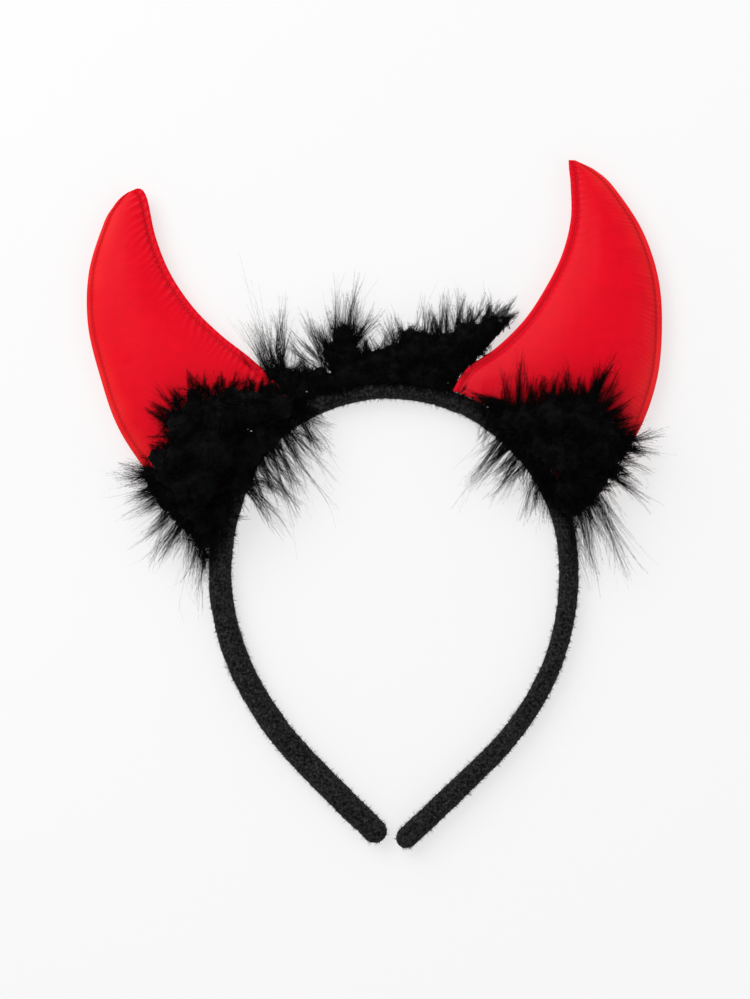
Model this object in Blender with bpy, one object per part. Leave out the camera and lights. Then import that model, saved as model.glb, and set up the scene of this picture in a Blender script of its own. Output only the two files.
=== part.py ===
"""Devil horns headband: a hoop covered in black felt, two stuffed horns of red satin seated
on its outer side, and black marabou down over the crown and in front of both horn roots.

The hoop lies flat on its back on z = 0, as it rests by itself. +X is to the right of the
front view, +Y runs up the hoop to its crown and +Z comes out of its front. Metres.
"""

import math
from collections import namedtuple
from functools import lru_cache

import bmesh
import bpy
import numpy as np
from mathutils import Vector

MM = 0.001

# Band
BAND_HALF_SPAN = 57.5 * MM  # middle of the hoop out to the centreline, at the widest
BAND_RISE = 61.4 * MM  # widest line up to the crown's centreline
BAND_DROP = 88.8 * MM  # widest line down to the lower tip
BAND_WIDTH = 7.0 * MM  # across the felt, as the front shows it
BAND_DEPTH = 8.4 * MM  # front to back, before the back is pressed flat
BAND_PRESSED = 0.5 * MM  # how far the felt is pressed flat underneath
TIP_ROUNDING = 4.0 * MM  # length over which each tip rounds off

# Horns
HORN_HEIGHT = 91.4 * MM  # middle of the seat up to the tip
LEFT_LEAN = 32.6 * MM  # how far the left tip leans out from the middle of its seat
RIGHT_LEAN = 13.8 * MM
HORN_PADDING = 11.0 * MM  # front panel to back panel, where the stuffing is thickest
SEAM_WIDTH = 2.3 * MM  # flat margin outside the topstitching
SEAM_THICKNESS = 1.6 * MM
HORN_TIP_WIDTH = 1.2 * MM
SEAM_SHARE = 0.25  # the seam's largest share of a horn's width, near the tip
PADDING_ROUND = 0.6  # power of the padded section: lower is fuller towards the seams

# Marabou
DOWN_LENGTH = 34.0 * MM  # the longest tufts
HEART_RADIUS = 6.2 * MM  # the boa's dense middle
PUFF_OFFSET = 9.0 * MM  # how far a puff's heart lies outside the band's centreline
LOCK_RADIUS = 5.2 * MM
FLOOR_CLEARANCE = 1.2 * MM  # the crown's heart stands this far off the surface below

CLEARANCE = 0.3 * MM  # between pieces that touch

# Facets
LINE_STEPS = 24  # points on the hoop's centreline to each row of an arm's table
BAND_SIDES = 14
BAND_RINGS = 48
TIP_ANGLES = (22.0, 45.0, 68.0, 90.0)  # degrees round each rounded tip
HORN_STEPS = 2  # sections to each row of a horn's table
PANEL_PLACES = (0.0, 0.14, 0.32, 0.5, 0.68, 0.86, 1.0)  # shares across the padded panel
HEART_SIDES = 8
HEART_STEPS = 3
LOCK_SIDES = 6
LOCK_RINGS = ((0.0, 0.8), (0.34, 1.0), (0.70, 0.66))  # shares of a lock's length and radius
SHARP_ANGLE = 40.0  # degrees between faces that are shaded with a hard edge

FELT_COLOUR = (0.010, 0.010, 0.011)
SATIN_COLOUR = (0.780, 0.010, 0.026)
DOWN_COLOUR = (0.006, 0.006, 0.007)

# One row for each eighth of an arm, crown to tip. across is a share of BAND_HALF_SPAN, height
# of BAND_RISE above the widest line and of BAND_DROP below it, width of BAND_WIDTH.
ArmRow = namedtuple("ArmRow", "across height width")
LEFT_ARM = (
    ArmRow(0.000, 1.000, 0.86),
    ArmRow(0.423, 0.928, 0.92),
    ArmRow(0.778, 0.697, 1.00),
    ArmRow(0.957, 0.328, 1.04),
    ArmRow(0.999, -0.054, 1.05),
    ArmRow(0.888, -0.326, 1.07),
    ArmRow(0.671, -0.571, 1.08),
    ArmRow(0.383, -0.783, 1.10),
    ArmRow(0.077, -0.985, 1.08),
)
RIGHT_ARM = (
    ArmRow(0.000, 1.000, 0.86),
    ArmRow(0.426, 0.901, 0.86),
    ArmRow(0.768, 0.647, 0.90),
    ArmRow(0.968, 0.289, 0.90),
    ArmRow(0.997, -0.083, 0.90),
    ArmRow(0.887, -0.357, 0.86),
    ArmRow(0.653, -0.596, 0.89),
    ArmRow(0.348, -0.800, 0.95),
    ArmRow(0.037, -1.000, 0.98),
)

# One row for each section of a horn, seat to tip. along is a share of the straight line from
# a corner of the seat to the tip, inner and outer are how far that edge bows out from its
# line, as a share of the line, and padding is a share of HORN_PADDING.
HornRow = namedtuple("HornRow", "along inner outer padding")
LEFT_HORN = (
    HornRow(0.00, 0.000, 0.000, 0.72),
    HornRow(0.10, 0.013, 0.056, 0.90),
    HornRow(0.23, 0.041, 0.121, 1.00),
    HornRow(0.37, 0.077, 0.176, 1.00),
    HornRow(0.51, 0.095, 0.201, 0.92),
    HornRow(0.66, 0.088, 0.197, 0.80),
    HornRow(0.80, 0.054, 0.166, 0.64),
    HornRow(0.92, 0.008, 0.101, 0.44),
    HornRow(0.97, -0.002, 0.060, 0.30),
    HornRow(1.00, 0.000, 0.000, 0.16),
)
RIGHT_HORN = (
    HornRow(0.00, 0.000, 0.000, 0.72),
    HornRow(0.10, 0.032, 0.105, 0.90),
    HornRow(0.23, 0.077, 0.193, 1.00),
    HornRow(0.37, 0.112, 0.244, 1.00),
    HornRow(0.51, 0.124, 0.261, 0.92),
    HornRow(0.66, 0.122, 0.248, 0.80),
    HornRow(0.80, 0.096, 0.207, 0.62),
    HornRow(0.92, 0.042, 0.132, 0.40),
    HornRow(0.97, 0.014, 0.078, 0.28),
    HornRow(1.00, 0.000, 0.000, 0.16),
)
BASE_FADE = 0.35  # share of a horn's height over which the curve of its seat fades out

# Where each horn sits: shares of the arm's length from the crown, inner corner and outer corner
Seat = namedtuple("Seat", "inner outer")
LEFT_SEAT = Seat(-0.165, -0.430)
RIGHT_SEAT = Seat(0.100, 0.370)

# The boa's dense heart. along is a share of the arm's length from the crown, left negative,
# outward a share of PUFF_OFFSET, on_horn runs from 0 on the band's front to 1 on the front of
# a horn at its fullest, and radius is a share of HEART_RADIUS.
HeartRow = namedtuple("HeartRow", "along outward on_horn radius")
LEFT_HEART = (
    HeartRow(-0.46, 0.0, 0.00, 0.45),
    HeartRow(-0.41, 0.2, 0.25, 0.75),
    HeartRow(-0.34, 0.7, 0.75, 1.00),
    HeartRow(-0.27, 1.1, 0.85, 1.15),
    HeartRow(-0.20, 1.0, 0.60, 1.00),
    HeartRow(-0.15, 0.5, 0.20, 0.70),
)
RIGHT_HEART = (
    HeartRow(0.42, 0.0, 0.00, 0.45),
    HeartRow(0.37, 0.3, 0.25, 0.75),
    HeartRow(0.31, 0.8, 0.62, 1.05),
    HeartRow(0.26, 1.1, 0.78, 1.15),
    HeartRow(0.21, 1.0, 0.76, 0.70),
)
# On the crown the heart lies against the band's outer side.
CrownRow = namedtuple("CrownRow", "along radius")
CROWN_HEART = (
    CrownRow(-0.115, 0.55),
    CrownRow(-0.075, 0.90),
    CrownRow(-0.020, 0.75),
    CrownRow(0.025, 0.90),
    CrownRow(0.062, 0.60),
)

# One row for each tuft that the front shows. place is a share along the heart, from the
# arm's end or the left, heading and lift are in degrees, heading round from +X in the
# front view and lift out of its plane, and length is a share of DOWN_LENGTH.
Lock = namedtuple("Lock", "place heading lift length")
LEFT_LOCKS = (
    Lock(0.12, 256.0, 4.0, 0.50),
    Lock(0.28, 246.0, 2.0, 0.72),
    Lock(0.34, 226.0, 0.0, 0.72),
    Lock(0.42, 210.0, 6.0, 0.86),
    Lock(0.50, 200.0, 0.0, 0.96),
    Lock(0.58, 190.0, 6.0, 1.00),
    Lock(0.62, 164.0, 8.0, 0.70),
    Lock(0.70, 144.0, 10.0, 0.66),
    Lock(0.80, 130.0, 8.0, 0.56),
    Lock(0.90, 118.0, 12.0, 0.76),
    Lock(0.97, 104.0, 4.0, 0.86),
    Lock(0.96, 82.0, 14.0, 0.40),
    Lock(0.88, 2.0, 2.0, 0.64),
    Lock(0.78, -10.0, 4.0, 0.80),
    Lock(0.66, -16.0, 0.0, 0.86),
    Lock(0.56, -24.0, 4.0, 0.86),
    Lock(0.44, -30.0, 0.0, 0.72),
    Lock(0.28, -40.0, 4.0, 0.46),
)
RIGHT_LOCKS = (
    Lock(0.10, -80.0, 4.0, 0.56),
    Lock(0.26, -66.0, 2.0, 0.76),
    Lock(0.38, -54.0, 0.0, 0.92),
    Lock(0.44, -34.0, 4.0, 0.84),
    Lock(0.54, -18.0, 0.0, 0.98),
    Lock(0.64, -4.0, 6.0, 0.90),
    Lock(0.72, 10.0, 2.0, 0.90),
    Lock(0.80, 38.0, 10.0, 0.74),
    Lock(0.86, 58.0, 12.0, 0.84),
    Lock(0.92, 76.0, 8.0, 0.70),
    Lock(0.98, 100.0, 10.0, 0.62),
    Lock(0.98, 160.0, 8.0, 0.40),
    Lock(0.94, 194.0, 2.0, 0.62),
    Lock(0.84, 206.0, 4.0, 0.78),
    Lock(0.72, 222.0, 0.0, 0.76),
    Lock(0.56, 236.0, 4.0, 0.80),
    Lock(0.40, 246.0, 0.0, 0.72),
    Lock(0.24, 240.0, 4.0, 0.46),
)
CROWN_LOCKS = (
    Lock(0.02, 126.0, 4.0, 0.74),
    Lock(0.08, 116.0, 0.0, 0.70),
    Lock(0.20, 124.0, 10.0, 0.62),
    Lock(0.28, 112.0, 0.0, 0.74),
    Lock(0.36, 100.0, 6.0, 0.86),
    Lock(0.44, 86.0, 0.0, 0.78),
    Lock(0.54, 96.0, 4.0, 0.46),
    Lock(0.66, 98.0, 0.0, 0.60),
    Lock(0.74, 86.0, 8.0, 0.74),
    Lock(0.82, 76.0, 0.0, 0.80),
    Lock(0.90, 66.0, 6.0, 0.84),
    Lock(0.95, 54.0, 0.0, 0.90),
    Lock(0.99, 42.0, 0.0, 0.92),
)
PUFF_FRONT_LOCKS = 14
CROWN_FRONT_LOCKS = 8
FRONT_LENGTH = (0.46, 0.62)  # shortest and longest, as shares of DOWN_LENGTH
FRONT_LIFT = (42.0, 80.0)  # degrees out of the plane
GOLDEN_TURN = 137.5  # degrees from one front tuft's heading to the next
GOLDEN_SHARE = 0.618
LOCK_DROOP = 0.06  # how far a lock's point hangs back, as a share of its length
LOCK_FIT = 0.86  # a lock is no thicker than this share of the heart it grows from
LOCK_SUNK = 0.5  # how far a lock's foot reaches back into the heart, as a share of its radius
HEART_END = 0.6  # how far each end of a heart rounds off, as a share of its radius


def smooth(rows, steps):
    """Points on a smooth curve through the rows, so many steps to each gap."""
    rows = np.array(rows, float)
    ends = np.vstack([2 * rows[0] - rows[1], rows, 2 * rows[-1] - rows[-2]])
    points = []
    for before, start, end, after in zip(ends, ends[1:], ends[2:], ends[3:]):
        for t in np.linspace(0.0, 1.0, steps, endpoint=False):
            bend = 2 * before - 5 * start + 4 * end - after
            twist = 3 * start - before - 3 * end + after
            points.append(start + 0.5 * ((end - before) * t + bend * t**2 + twist * t**3))
    points.append(rows[-1])
    return np.array(points)


def arm_points(arm, side):
    """An arm's rows as x, y and width."""
    points = []
    for row in arm:
        reach = BAND_RISE if row.height > 0 else BAND_DROP
        points.append((side * row.across * BAND_HALF_SPAN, row.height * reach, row.width * BAND_WIDTH))
    return points


@lru_cache
def hoop_line():
    """The centreline from the left tip over the crown to the right tip: each point's length
    from the left tip, x, y and width, and the length at which the crown lies."""
    rows = arm_points(LEFT_ARM, -1)[::-1] + arm_points(RIGHT_ARM, 1)[1:]
    line = smooth(rows, LINE_STEPS)
    steps = np.hypot(*np.diff(line[:, :2], axis=0).T)
    lengths = np.concatenate([[0.0], np.cumsum(steps)])
    crown = lengths[LINE_STEPS * (len(LEFT_ARM) - 1)]
    return np.column_stack([lengths, line]), crown


def band_at_length(length):
    """Centre, outward direction and width of the band at a length from its left tip."""
    line, _ = hoop_line()
    x, y, width = (np.interp(length, line[:, 0], line[:, k]) for k in (1, 2, 3))
    ahead = [np.interp(length + BAND_WIDTH / 2, line[:, 0], line[:, k]) for k in (1, 2)]
    behind = [np.interp(length - BAND_WIDTH / 2, line[:, 0], line[:, k]) for k in (1, 2)]
    run = Vector((ahead[0] - behind[0], ahead[1] - behind[1], 0.0)).normalized()
    return Vector((x, y, 0.0)), Vector((-run.y, run.x, 0.0)), width


def band_at(share):
    """The same at a share of an arm's length from the crown, negative on the left arm."""
    line, crown = hoop_line()
    arm = crown if share < 0 else line[-1, 0] - crown
    return band_at_length(crown + share * arm)


def band_front():
    return BAND_DEPTH - BAND_PRESSED


def horn_middle():
    return CLEARANCE + HORN_PADDING / 2


def horn_front():
    return CLEARANCE + HORN_PADDING


def new_piece(name, mesh, material):
    piece = bpy.data.objects.new(name, mesh)
    piece.data.materials.append(material)
    mesh.shade_smooth()
    mesh.set_sharp_from_angle(angle=math.radians(SHARP_ANGLE))
    return piece


def mesh_from(bm, name):
    bmesh.ops.triangulate(bm, faces=bm.faces)
    bmesh.ops.recalc_face_normals(bm, faces=bm.faces)
    mesh = bpy.data.meshes.new(name)
    bm.to_mesh(mesh)
    bm.free()
    return mesh


def loft(bm, rings, start, end):
    """Faces between rings of points, closed by a fan to the point at each end."""
    made = [[bm.verts.new(point) for point in ring] for ring in rings]
    for ring, following in zip(made, made[1:]):
        for k in range(len(ring)):
            after = (k + 1) % len(ring)
            bm.faces.new((ring[k], ring[after], following[after], following[k]))
    for ring, point in ((made[0], start), (made[-1], end)):
        middle = bm.verts.new(point)
        for k in range(len(ring)):
            bm.faces.new((ring[k], ring[(k + 1) % len(ring)], middle))


def band_ring(length, scale):
    """One oval section, its underside pressed flat on z = 0."""
    centre, outward, width = band_at_length(length)
    middle = BAND_DEPTH / 2 - BAND_PRESSED
    ring = []
    for k in range(BAND_SIDES):
        turn = 2 * math.pi * k / BAND_SIDES
        across = outward * (scale * width / 2 * math.sin(turn))
        height = middle - scale * BAND_DEPTH / 2 * math.cos(turn)
        ring.append(centre + across + Vector((0.0, 0.0, max(height, 0.0))))
    return ring


def make_band(felt):
    line, _ = hoop_line()
    whole = line[-1, 0]
    tip_turns = [math.radians(angle) for angle in TIP_ANGLES]
    tip_steps = [(TIP_ROUNDING * (1 - math.cos(turn)), math.sin(turn)) for turn in tip_turns]
    middle_steps = np.linspace(TIP_ROUNDING, whole - TIP_ROUNDING, BAND_RINGS)[1:-1]
    rings = [band_ring(length, scale) for length, scale in tip_steps]
    rings += [band_ring(length, 1.0) for length in middle_steps]
    rings += [band_ring(whole - length, scale) for length, scale in reversed(tip_steps)]
    bm = bmesh.new()
    height = Vector((0.0, 0.0, BAND_DEPTH / 2 - BAND_PRESSED))
    loft(bm, rings, band_at_length(0.0)[0] + height, band_at_length(whole)[0] + height)
    return new_piece("band", mesh_from(bm, "band"), felt)


def seat_point(share):
    """A point of a horn's seat, just clear of the band's outer side."""
    centre, outward, width = band_at(share)
    return centre + outward * (width / 2 + CLEARANCE)


def horn_sections(rows, seat, lean, side):
    """For each section, its padding and a function that gives a point at a share across."""
    inner_corner = seat_point(seat.inner)
    outer_corner = seat_point(seat.outer)
    tip = seat_point((seat.inner + seat.outer) / 2) + Vector((side * lean, HORN_HEIGHT, 0.0))
    inner_line = tip - inner_corner
    outer_line = tip - outer_corner

    def bowed(corner, line, along, bow):
        return corner + line * along + Vector((line.y, -line.x, 0.0)) * (side * bow)

    sections = []
    for along, inner_bow, outer_bow, padding in smooth(rows, HORN_STEPS):
        inner = bowed(inner_corner, inner_line, along, inner_bow)
        outer = bowed(outer_corner, outer_line, along, outer_bow)
        if along > 1 - 1e-6:
            run = sections[-1][1](1.0) - sections[-1][1](0.0)
            inner = tip - run.normalized() * HORN_TIP_WIDTH / 2
            outer = tip + run.normalized() * HORN_TIP_WIDTH / 2
        fade = max(0.0, 1 - along / BASE_FADE) ** 2

        def point(share, inner=inner, outer=outer, fade=fade):
            straight = inner.lerp(outer, share)
            foot = seat_point(seat.inner + (seat.outer - seat.inner) * share)
            return straight + (foot - inner_corner.lerp(outer_corner, share)) * fade

        sections.append((padding, point, (outer - inner).length))
    return sections


def make_horn(name, rows, seat, lean, side, satin):
    """Two panels sewn flat round the edge and stuffed between, open towards the band."""
    bm = bmesh.new()
    fronts, backs = [], []
    for padding, point, width in horn_sections(rows, seat, lean, side):
        margin = min(SEAM_WIDTH, SEAM_SHARE * width) / width
        shares = [0.0] + [margin + (1 - 2 * margin) * place for place in PANEL_PLACES] + [1.0]
        front, back = [], []
        for share in shares:
            place = (share - margin) / (1 - 2 * margin)
            crown = max(0.0, 1 - (2 * place - 1) ** 2) ** PADDING_ROUND
            swell = max(padding * HORN_PADDING - SEAM_THICKNESS, 0.0) * crown
            half = Vector((0.0, 0.0, (SEAM_THICKNESS + swell) / 2))
            middle = point(share) + Vector((0.0, 0.0, horn_middle()))
            front.append(bm.verts.new(middle + half))
            back.append(bm.verts.new(middle - half))
        fronts.append(front)
        backs.append(back)
    for panel in (fronts, backs):
        for section, following in zip(panel, panel[1:]):
            for k in range(len(section) - 1):
                bm.faces.new((section[k], section[k + 1], following[k + 1], following[k]))
    for front, back in ((fronts[0], backs[0]), (fronts[-1], backs[-1])):
        for k in range(len(front) - 1):
            bm.faces.new((front[k], front[k + 1], back[k + 1], back[k]))
    for edge in (0, -1):
        for k in range(len(fronts) - 1):
            bm.faces.new((fronts[k][edge], fronts[k + 1][edge], backs[k + 1][edge], backs[k][edge]))
    return new_piece(name, mesh_from(bm, name), satin)


def puff_heart(rows):
    """Centres and radii of a puff's heart, lying on the horn's front and on the band's."""
    heart = []
    for along, outward, on_horn, share in smooth(rows, HEART_STEPS):
        centre, out, _ = band_at(along)
        radius = share * HEART_RADIUS
        under = band_front() + (horn_front() - band_front()) * on_horn
        height = Vector((0.0, 0.0, under + CLEARANCE + radius))
        heart.append((centre + out * (outward * PUFF_OFFSET) + height, radius))
    return heart


def crown_heart(rows):
    """Centres and radii of the heart that lies against the crown's outer side."""
    heart = []
    for along, share in smooth(rows, HEART_STEPS):
        centre, out, width = band_at(along)
        radius = share * HEART_RADIUS
        height = Vector((0.0, 0.0, radius + FLOOR_CLEARANCE))
        heart.append((centre + out * (width / 2 + CLEARANCE + radius) + height, radius))
    return heart


def ring_round(centre, direction, radius, sides):
    across = direction.cross(Vector((0.0, 0.0, 1.0)))
    if across.length < 1e-6:
        across = Vector((1.0, 0.0, 0.0))
    across.normalize()
    up = across.cross(direction).normalized()
    ring = []
    for k in range(sides):
        turn = 2 * math.pi * k / sides
        ring.append(centre + (across * math.cos(turn) + up * math.sin(turn)) * radius)
    return ring


def heart_mesh(heart, name):
    bm = bmesh.new()
    rings = []
    for k, (centre, radius) in enumerate(heart):
        before = heart[max(k - 1, 0)][0]
        after = heart[min(k + 1, len(heart) - 1)][0]
        rings.append(ring_round(centre, (after - before).normalized(), radius, HEART_SIDES))
    ends = []
    for (centre, radius), (neighbour, _) in ((heart[0], heart[1]), (heart[-1], heart[-2])):
        ends.append(centre + (centre - neighbour).normalized() * radius * HEART_END)
    loft(bm, rings, *ends)
    return mesh_from(bm, name)


def heart_at(heart, place):
    """Centre and radius at a share along the heart."""
    at = place * (len(heart) - 1)
    first = min(int(at), len(heart) - 2)
    (start, thin), (end, thick) = heart[first], heart[first + 1]
    return start.lerp(end, at - first), thin + (thick - thin) * (at - first)


def front_locks(count, heart):
    """Tufts that stand out to the front, spread over the heart by a golden turn."""
    locks = []
    for k in range(count):
        spread = (k * GOLDEN_SHARE) % 1.0
        place = (k + 0.5) / count
        lift = FRONT_LIFT[0] + (FRONT_LIFT[1] - FRONT_LIFT[0]) * spread
        length = FRONT_LENGTH[1] - (FRONT_LENGTH[1] - FRONT_LENGTH[0]) * spread
        length *= min(1.0, heart_at(heart, place)[1] / HEART_RADIUS)
        locks.append(Lock(place, k * GOLDEN_TURN, lift, length))
    return tuple(locks)


def add_lock(bm, heart, lock):
    """A curved, tapering lock from inside the heart out to its point."""
    root, thick = heart_at(heart, lock.place)
    radius = min(LOCK_RADIUS, LOCK_FIT * thick)
    heading = math.radians(lock.heading)
    lift = math.radians(lock.lift)
    flat = Vector((math.cos(heading), math.sin(heading), 0.0))
    direction = flat * math.cos(lift) + Vector((0.0, 0.0, math.sin(lift)))
    length = lock.length * DOWN_LENGTH

    def centre(share):
        return root + direction * (share * length) - Vector((0.0, 0.0, LOCK_DROOP * length * share**2))

    rings = [ring_round(centre(share), direction, size * radius, LOCK_SIDES) for share, size in LOCK_RINGS]
    loft(bm, rings, root - direction * radius * LOCK_SUNK, centre(1.0))


def drop_pockets(mesh):
    """Fills the pockets that crossing locks close: keeps only the outermost shell."""
    bm = bmesh.new()
    bm.from_mesh(mesh)
    left = set(bm.faces)
    shells = []
    while left:
        shell = set()
        waiting = [left.pop()]
        while waiting:
            face = waiting.pop()
            shell.add(face)
            for edge in face.edges:
                for other in edge.link_faces:
                    if other in left:
                        left.discard(other)
                        waiting.append(other)
        shells.append(shell)
    largest = max(shells, key=lambda shell: sum(face.calc_area() for face in shell))
    for shell in shells:
        if shell is not largest:
            bmesh.ops.delete(bm, geom=list(shell), context="FACES")
    bm.to_mesh(mesh)
    bm.free()


def make_marabou(name, heart, locks, down, helpers):
    """Locks fused to the heart they grow from."""
    bm = bmesh.new()
    for lock in locks:
        add_lock(bm, heart, lock)
    tufts = bpy.data.objects.new(name + "_locks", mesh_from(bm, name + "_locks"))
    tufts.hide_render = True
    tufts.display_type = "WIRE"
    helpers.objects.link(tufts)
    body = bpy.data.objects.new(name + "_heart", heart_mesh(heart, name + "_heart"))
    body.hide_render = True
    body.display_type = "WIRE"
    helpers.objects.link(body)
    fuse = body.modifiers.new("fuse", "BOOLEAN")
    fuse.operation = "UNION"
    fuse.solver = "EXACT"
    fuse.use_self = True
    fuse.object = tufts
    bpy.context.view_layer.update()
    fused = bpy.data.meshes.new_from_object(body.evaluated_get(bpy.context.evaluated_depsgraph_get()))
    fused.name = name
    drop_pockets(fused)
    return new_piece(name, fused, down)


def make_material(name, colour, roughness, sheen):
    material = bpy.data.materials.new(name)
    material.use_nodes = True
    shader = material.node_tree.nodes["Principled BSDF"]
    shader.inputs["Base Color"].default_value = (*colour, 1.0)
    shader.inputs["Roughness"].default_value = roughness
    shader.inputs["Metallic"].default_value = 0.0
    shader.inputs["Sheen Weight"].default_value = sheen
    return material


def stand_on_origin(pieces, parts):
    """Parents the pieces to an empty that puts the middle of their outline on the origin."""
    corners = np.array([vertex.co for piece in pieces for vertex in piece.data.vertices])
    middle = (corners.min(axis=0) + corners.max(axis=0)) / 2
    origin = bpy.data.objects.new("headband_origin", None)
    origin.location = (-middle[0], -middle[1], 0.0)
    parts.objects.link(origin)
    for piece in pieces:
        piece.parent = origin


def main():
    for old in list(bpy.data.objects):
        bpy.data.objects.remove(old, do_unlink=True)
    parts = bpy.data.collections.new("devil_horns_headband")
    helpers = bpy.data.collections.new("helpers")
    bpy.context.scene.collection.children.link(parts)
    bpy.context.scene.collection.children.link(helpers)

    felt = make_material("black_felt", FELT_COLOUR, 0.95, 0.3)
    satin = make_material("red_satin", SATIN_COLOUR, 0.38, 0.1)
    down = make_material("black_down", DOWN_COLOUR, 0.85, 0.2)

    pieces = [
        make_band(felt),
        make_horn("horn_left", LEFT_HORN, LEFT_SEAT, LEFT_LEAN, -1, satin),
        make_horn("horn_right", RIGHT_HORN, RIGHT_SEAT, RIGHT_LEAN, 1, satin),
    ]
    for name, heart, locks, front_count in (
        ("marabou_left", puff_heart(LEFT_HEART), LEFT_LOCKS, PUFF_FRONT_LOCKS),
        ("marabou_crown", crown_heart(CROWN_HEART), CROWN_LOCKS, CROWN_FRONT_LOCKS),
        ("marabou_right", puff_heart(RIGHT_HEART), RIGHT_LOCKS, PUFF_FRONT_LOCKS),
    ):
        locks += front_locks(front_count, heart)
        pieces.append(make_marabou(name, heart, locks, down, helpers))
    for piece in pieces:
        parts.objects.link(piece)
    stand_on_origin(pieces, parts)


main()
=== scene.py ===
"""Looks of a devil horns headband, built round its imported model: a hoop covered in fuzzy black
felt, two stuffed horns of red satin with topstitched seams, and black marabou down.

Metres. The hoop lies on its back on z = 0: +X is to the right of the front view, +Y runs up
the hoop to its crown and +Z comes out of its front.
"""

import math
from collections import namedtuple

import bpy
import numpy as np
from bpy.props import FloatProperty, FloatVectorProperty, IntProperty, PointerProperty
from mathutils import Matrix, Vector, noise
from mathutils.bvhtree import BVHTree
from mathutils.kdtree import KDTree


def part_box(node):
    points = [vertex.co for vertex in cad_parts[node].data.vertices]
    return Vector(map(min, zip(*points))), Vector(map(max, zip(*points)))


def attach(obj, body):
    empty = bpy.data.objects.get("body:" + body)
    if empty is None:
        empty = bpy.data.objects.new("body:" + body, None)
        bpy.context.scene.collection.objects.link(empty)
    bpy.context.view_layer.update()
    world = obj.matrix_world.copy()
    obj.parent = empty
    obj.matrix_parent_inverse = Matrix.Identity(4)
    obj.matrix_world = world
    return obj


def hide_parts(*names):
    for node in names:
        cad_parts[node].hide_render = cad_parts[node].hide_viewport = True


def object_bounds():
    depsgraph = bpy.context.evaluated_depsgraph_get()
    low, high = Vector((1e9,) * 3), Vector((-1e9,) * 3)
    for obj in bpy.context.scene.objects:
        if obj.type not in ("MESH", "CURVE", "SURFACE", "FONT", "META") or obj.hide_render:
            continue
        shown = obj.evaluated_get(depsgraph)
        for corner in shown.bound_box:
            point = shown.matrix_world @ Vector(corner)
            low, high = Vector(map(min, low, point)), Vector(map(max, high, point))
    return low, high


bl_info = {
    "name": "Devil horns headband",
    "version": (1, 0, 0),
    "blender": (4, 5, 0),
    "location": "3D View > Sidebar > Headband",
    "description": "Dresses the packed headband in felt, satin and marabou down",
    "category": "Object",
}

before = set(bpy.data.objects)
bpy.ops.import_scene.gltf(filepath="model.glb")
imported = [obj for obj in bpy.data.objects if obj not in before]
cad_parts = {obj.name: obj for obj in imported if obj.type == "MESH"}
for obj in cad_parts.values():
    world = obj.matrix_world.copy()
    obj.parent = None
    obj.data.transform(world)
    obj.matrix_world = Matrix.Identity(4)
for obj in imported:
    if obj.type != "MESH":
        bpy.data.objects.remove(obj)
CAD_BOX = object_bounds()
MM = 0.001

# One row for each eighth of an arm, crown to tip. across is a share of the half span, height
# of the rise above the widest line and of the drop below it, width of the band's width.
ArmRow = namedtuple("ArmRow", "across height width")
LEFT_ARM = (
    ArmRow(0.000, 1.000, 0.86),
    ArmRow(0.423, 0.928, 0.92),
    ArmRow(0.778, 0.697, 1.00),
    ArmRow(0.957, 0.328, 1.04),
    ArmRow(0.999, -0.054, 1.05),
    ArmRow(0.895, -0.326, 1.12),
    ArmRow(0.676, -0.571, 1.14),
    ArmRow(0.382, -0.781, 1.16),
    ArmRow(0.062, -0.984, 1.12),
)
RIGHT_ARM = (
    ArmRow(0.000, 1.000, 0.86),
    ArmRow(0.426, 0.901, 0.86),
    ArmRow(0.768, 0.647, 0.90),
    ArmRow(0.968, 0.289, 0.90),
    ArmRow(0.997, -0.083, 0.90),
    ArmRow(0.894, -0.357, 0.88),
    ArmRow(0.667, -0.596, 0.92),
    ArmRow(0.360, -0.800, 0.98),
    ArmRow(0.026, -1.006, 1.00),
)

# One row for each section of a horn, seat to tip. along is a share of the straight line from
# a corner of the seat to the tip, inner and outer are how far that edge bows out from its
# line, as a share of the line, and padding is a share of the horn's padding.
HornRow = namedtuple("HornRow", "along inner outer padding")
LEFT_ROWS = (
    HornRow(0.00, 0.000, 0.000, 0.72),
    HornRow(0.10, 0.000, 0.058, 0.90),
    HornRow(0.23, 0.024, 0.123, 1.00),
    HornRow(0.37, 0.063, 0.177, 1.00),
    HornRow(0.51, 0.085, 0.196, 0.92),
    HornRow(0.66, 0.080, 0.200, 0.80),
    HornRow(0.80, 0.045, 0.168, 0.64),
    HornRow(0.92, -0.008, 0.102, 0.46),
    HornRow(0.96, -0.020, 0.067, 0.36),
    HornRow(0.98, -0.018, 0.042, 0.28),
    HornRow(0.99, -0.008, 0.020, 0.18),
)
RIGHT_ROWS = (
    HornRow(0.00, 0.000, 0.000, 0.72),
    HornRow(0.10, 0.010, 0.090, 0.90),
    HornRow(0.23, 0.078, 0.184, 1.00),
    HornRow(0.37, 0.124, 0.238, 1.00),
    HornRow(0.51, 0.141, 0.256, 0.92),
    HornRow(0.66, 0.140, 0.249, 0.80),
    HornRow(0.80, 0.108, 0.205, 0.62),
    HornRow(0.92, 0.046, 0.128, 0.40),
    HornRow(0.97, 0.014, 0.076, 0.28),
    HornRow(1.00, -0.003, 0.018, 0.16),
)
BASE_FADE = 0.35  # share of a horn's height over which the curve of its seat fades out

# The puckers that the topstitching draws up: pitch, reach and height in millimetres, and
# slant as turns of the pucker wave to each millimetre away from the seam.
Pucker = namedtuple("Pucker", "pitch reach height slant")

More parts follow.
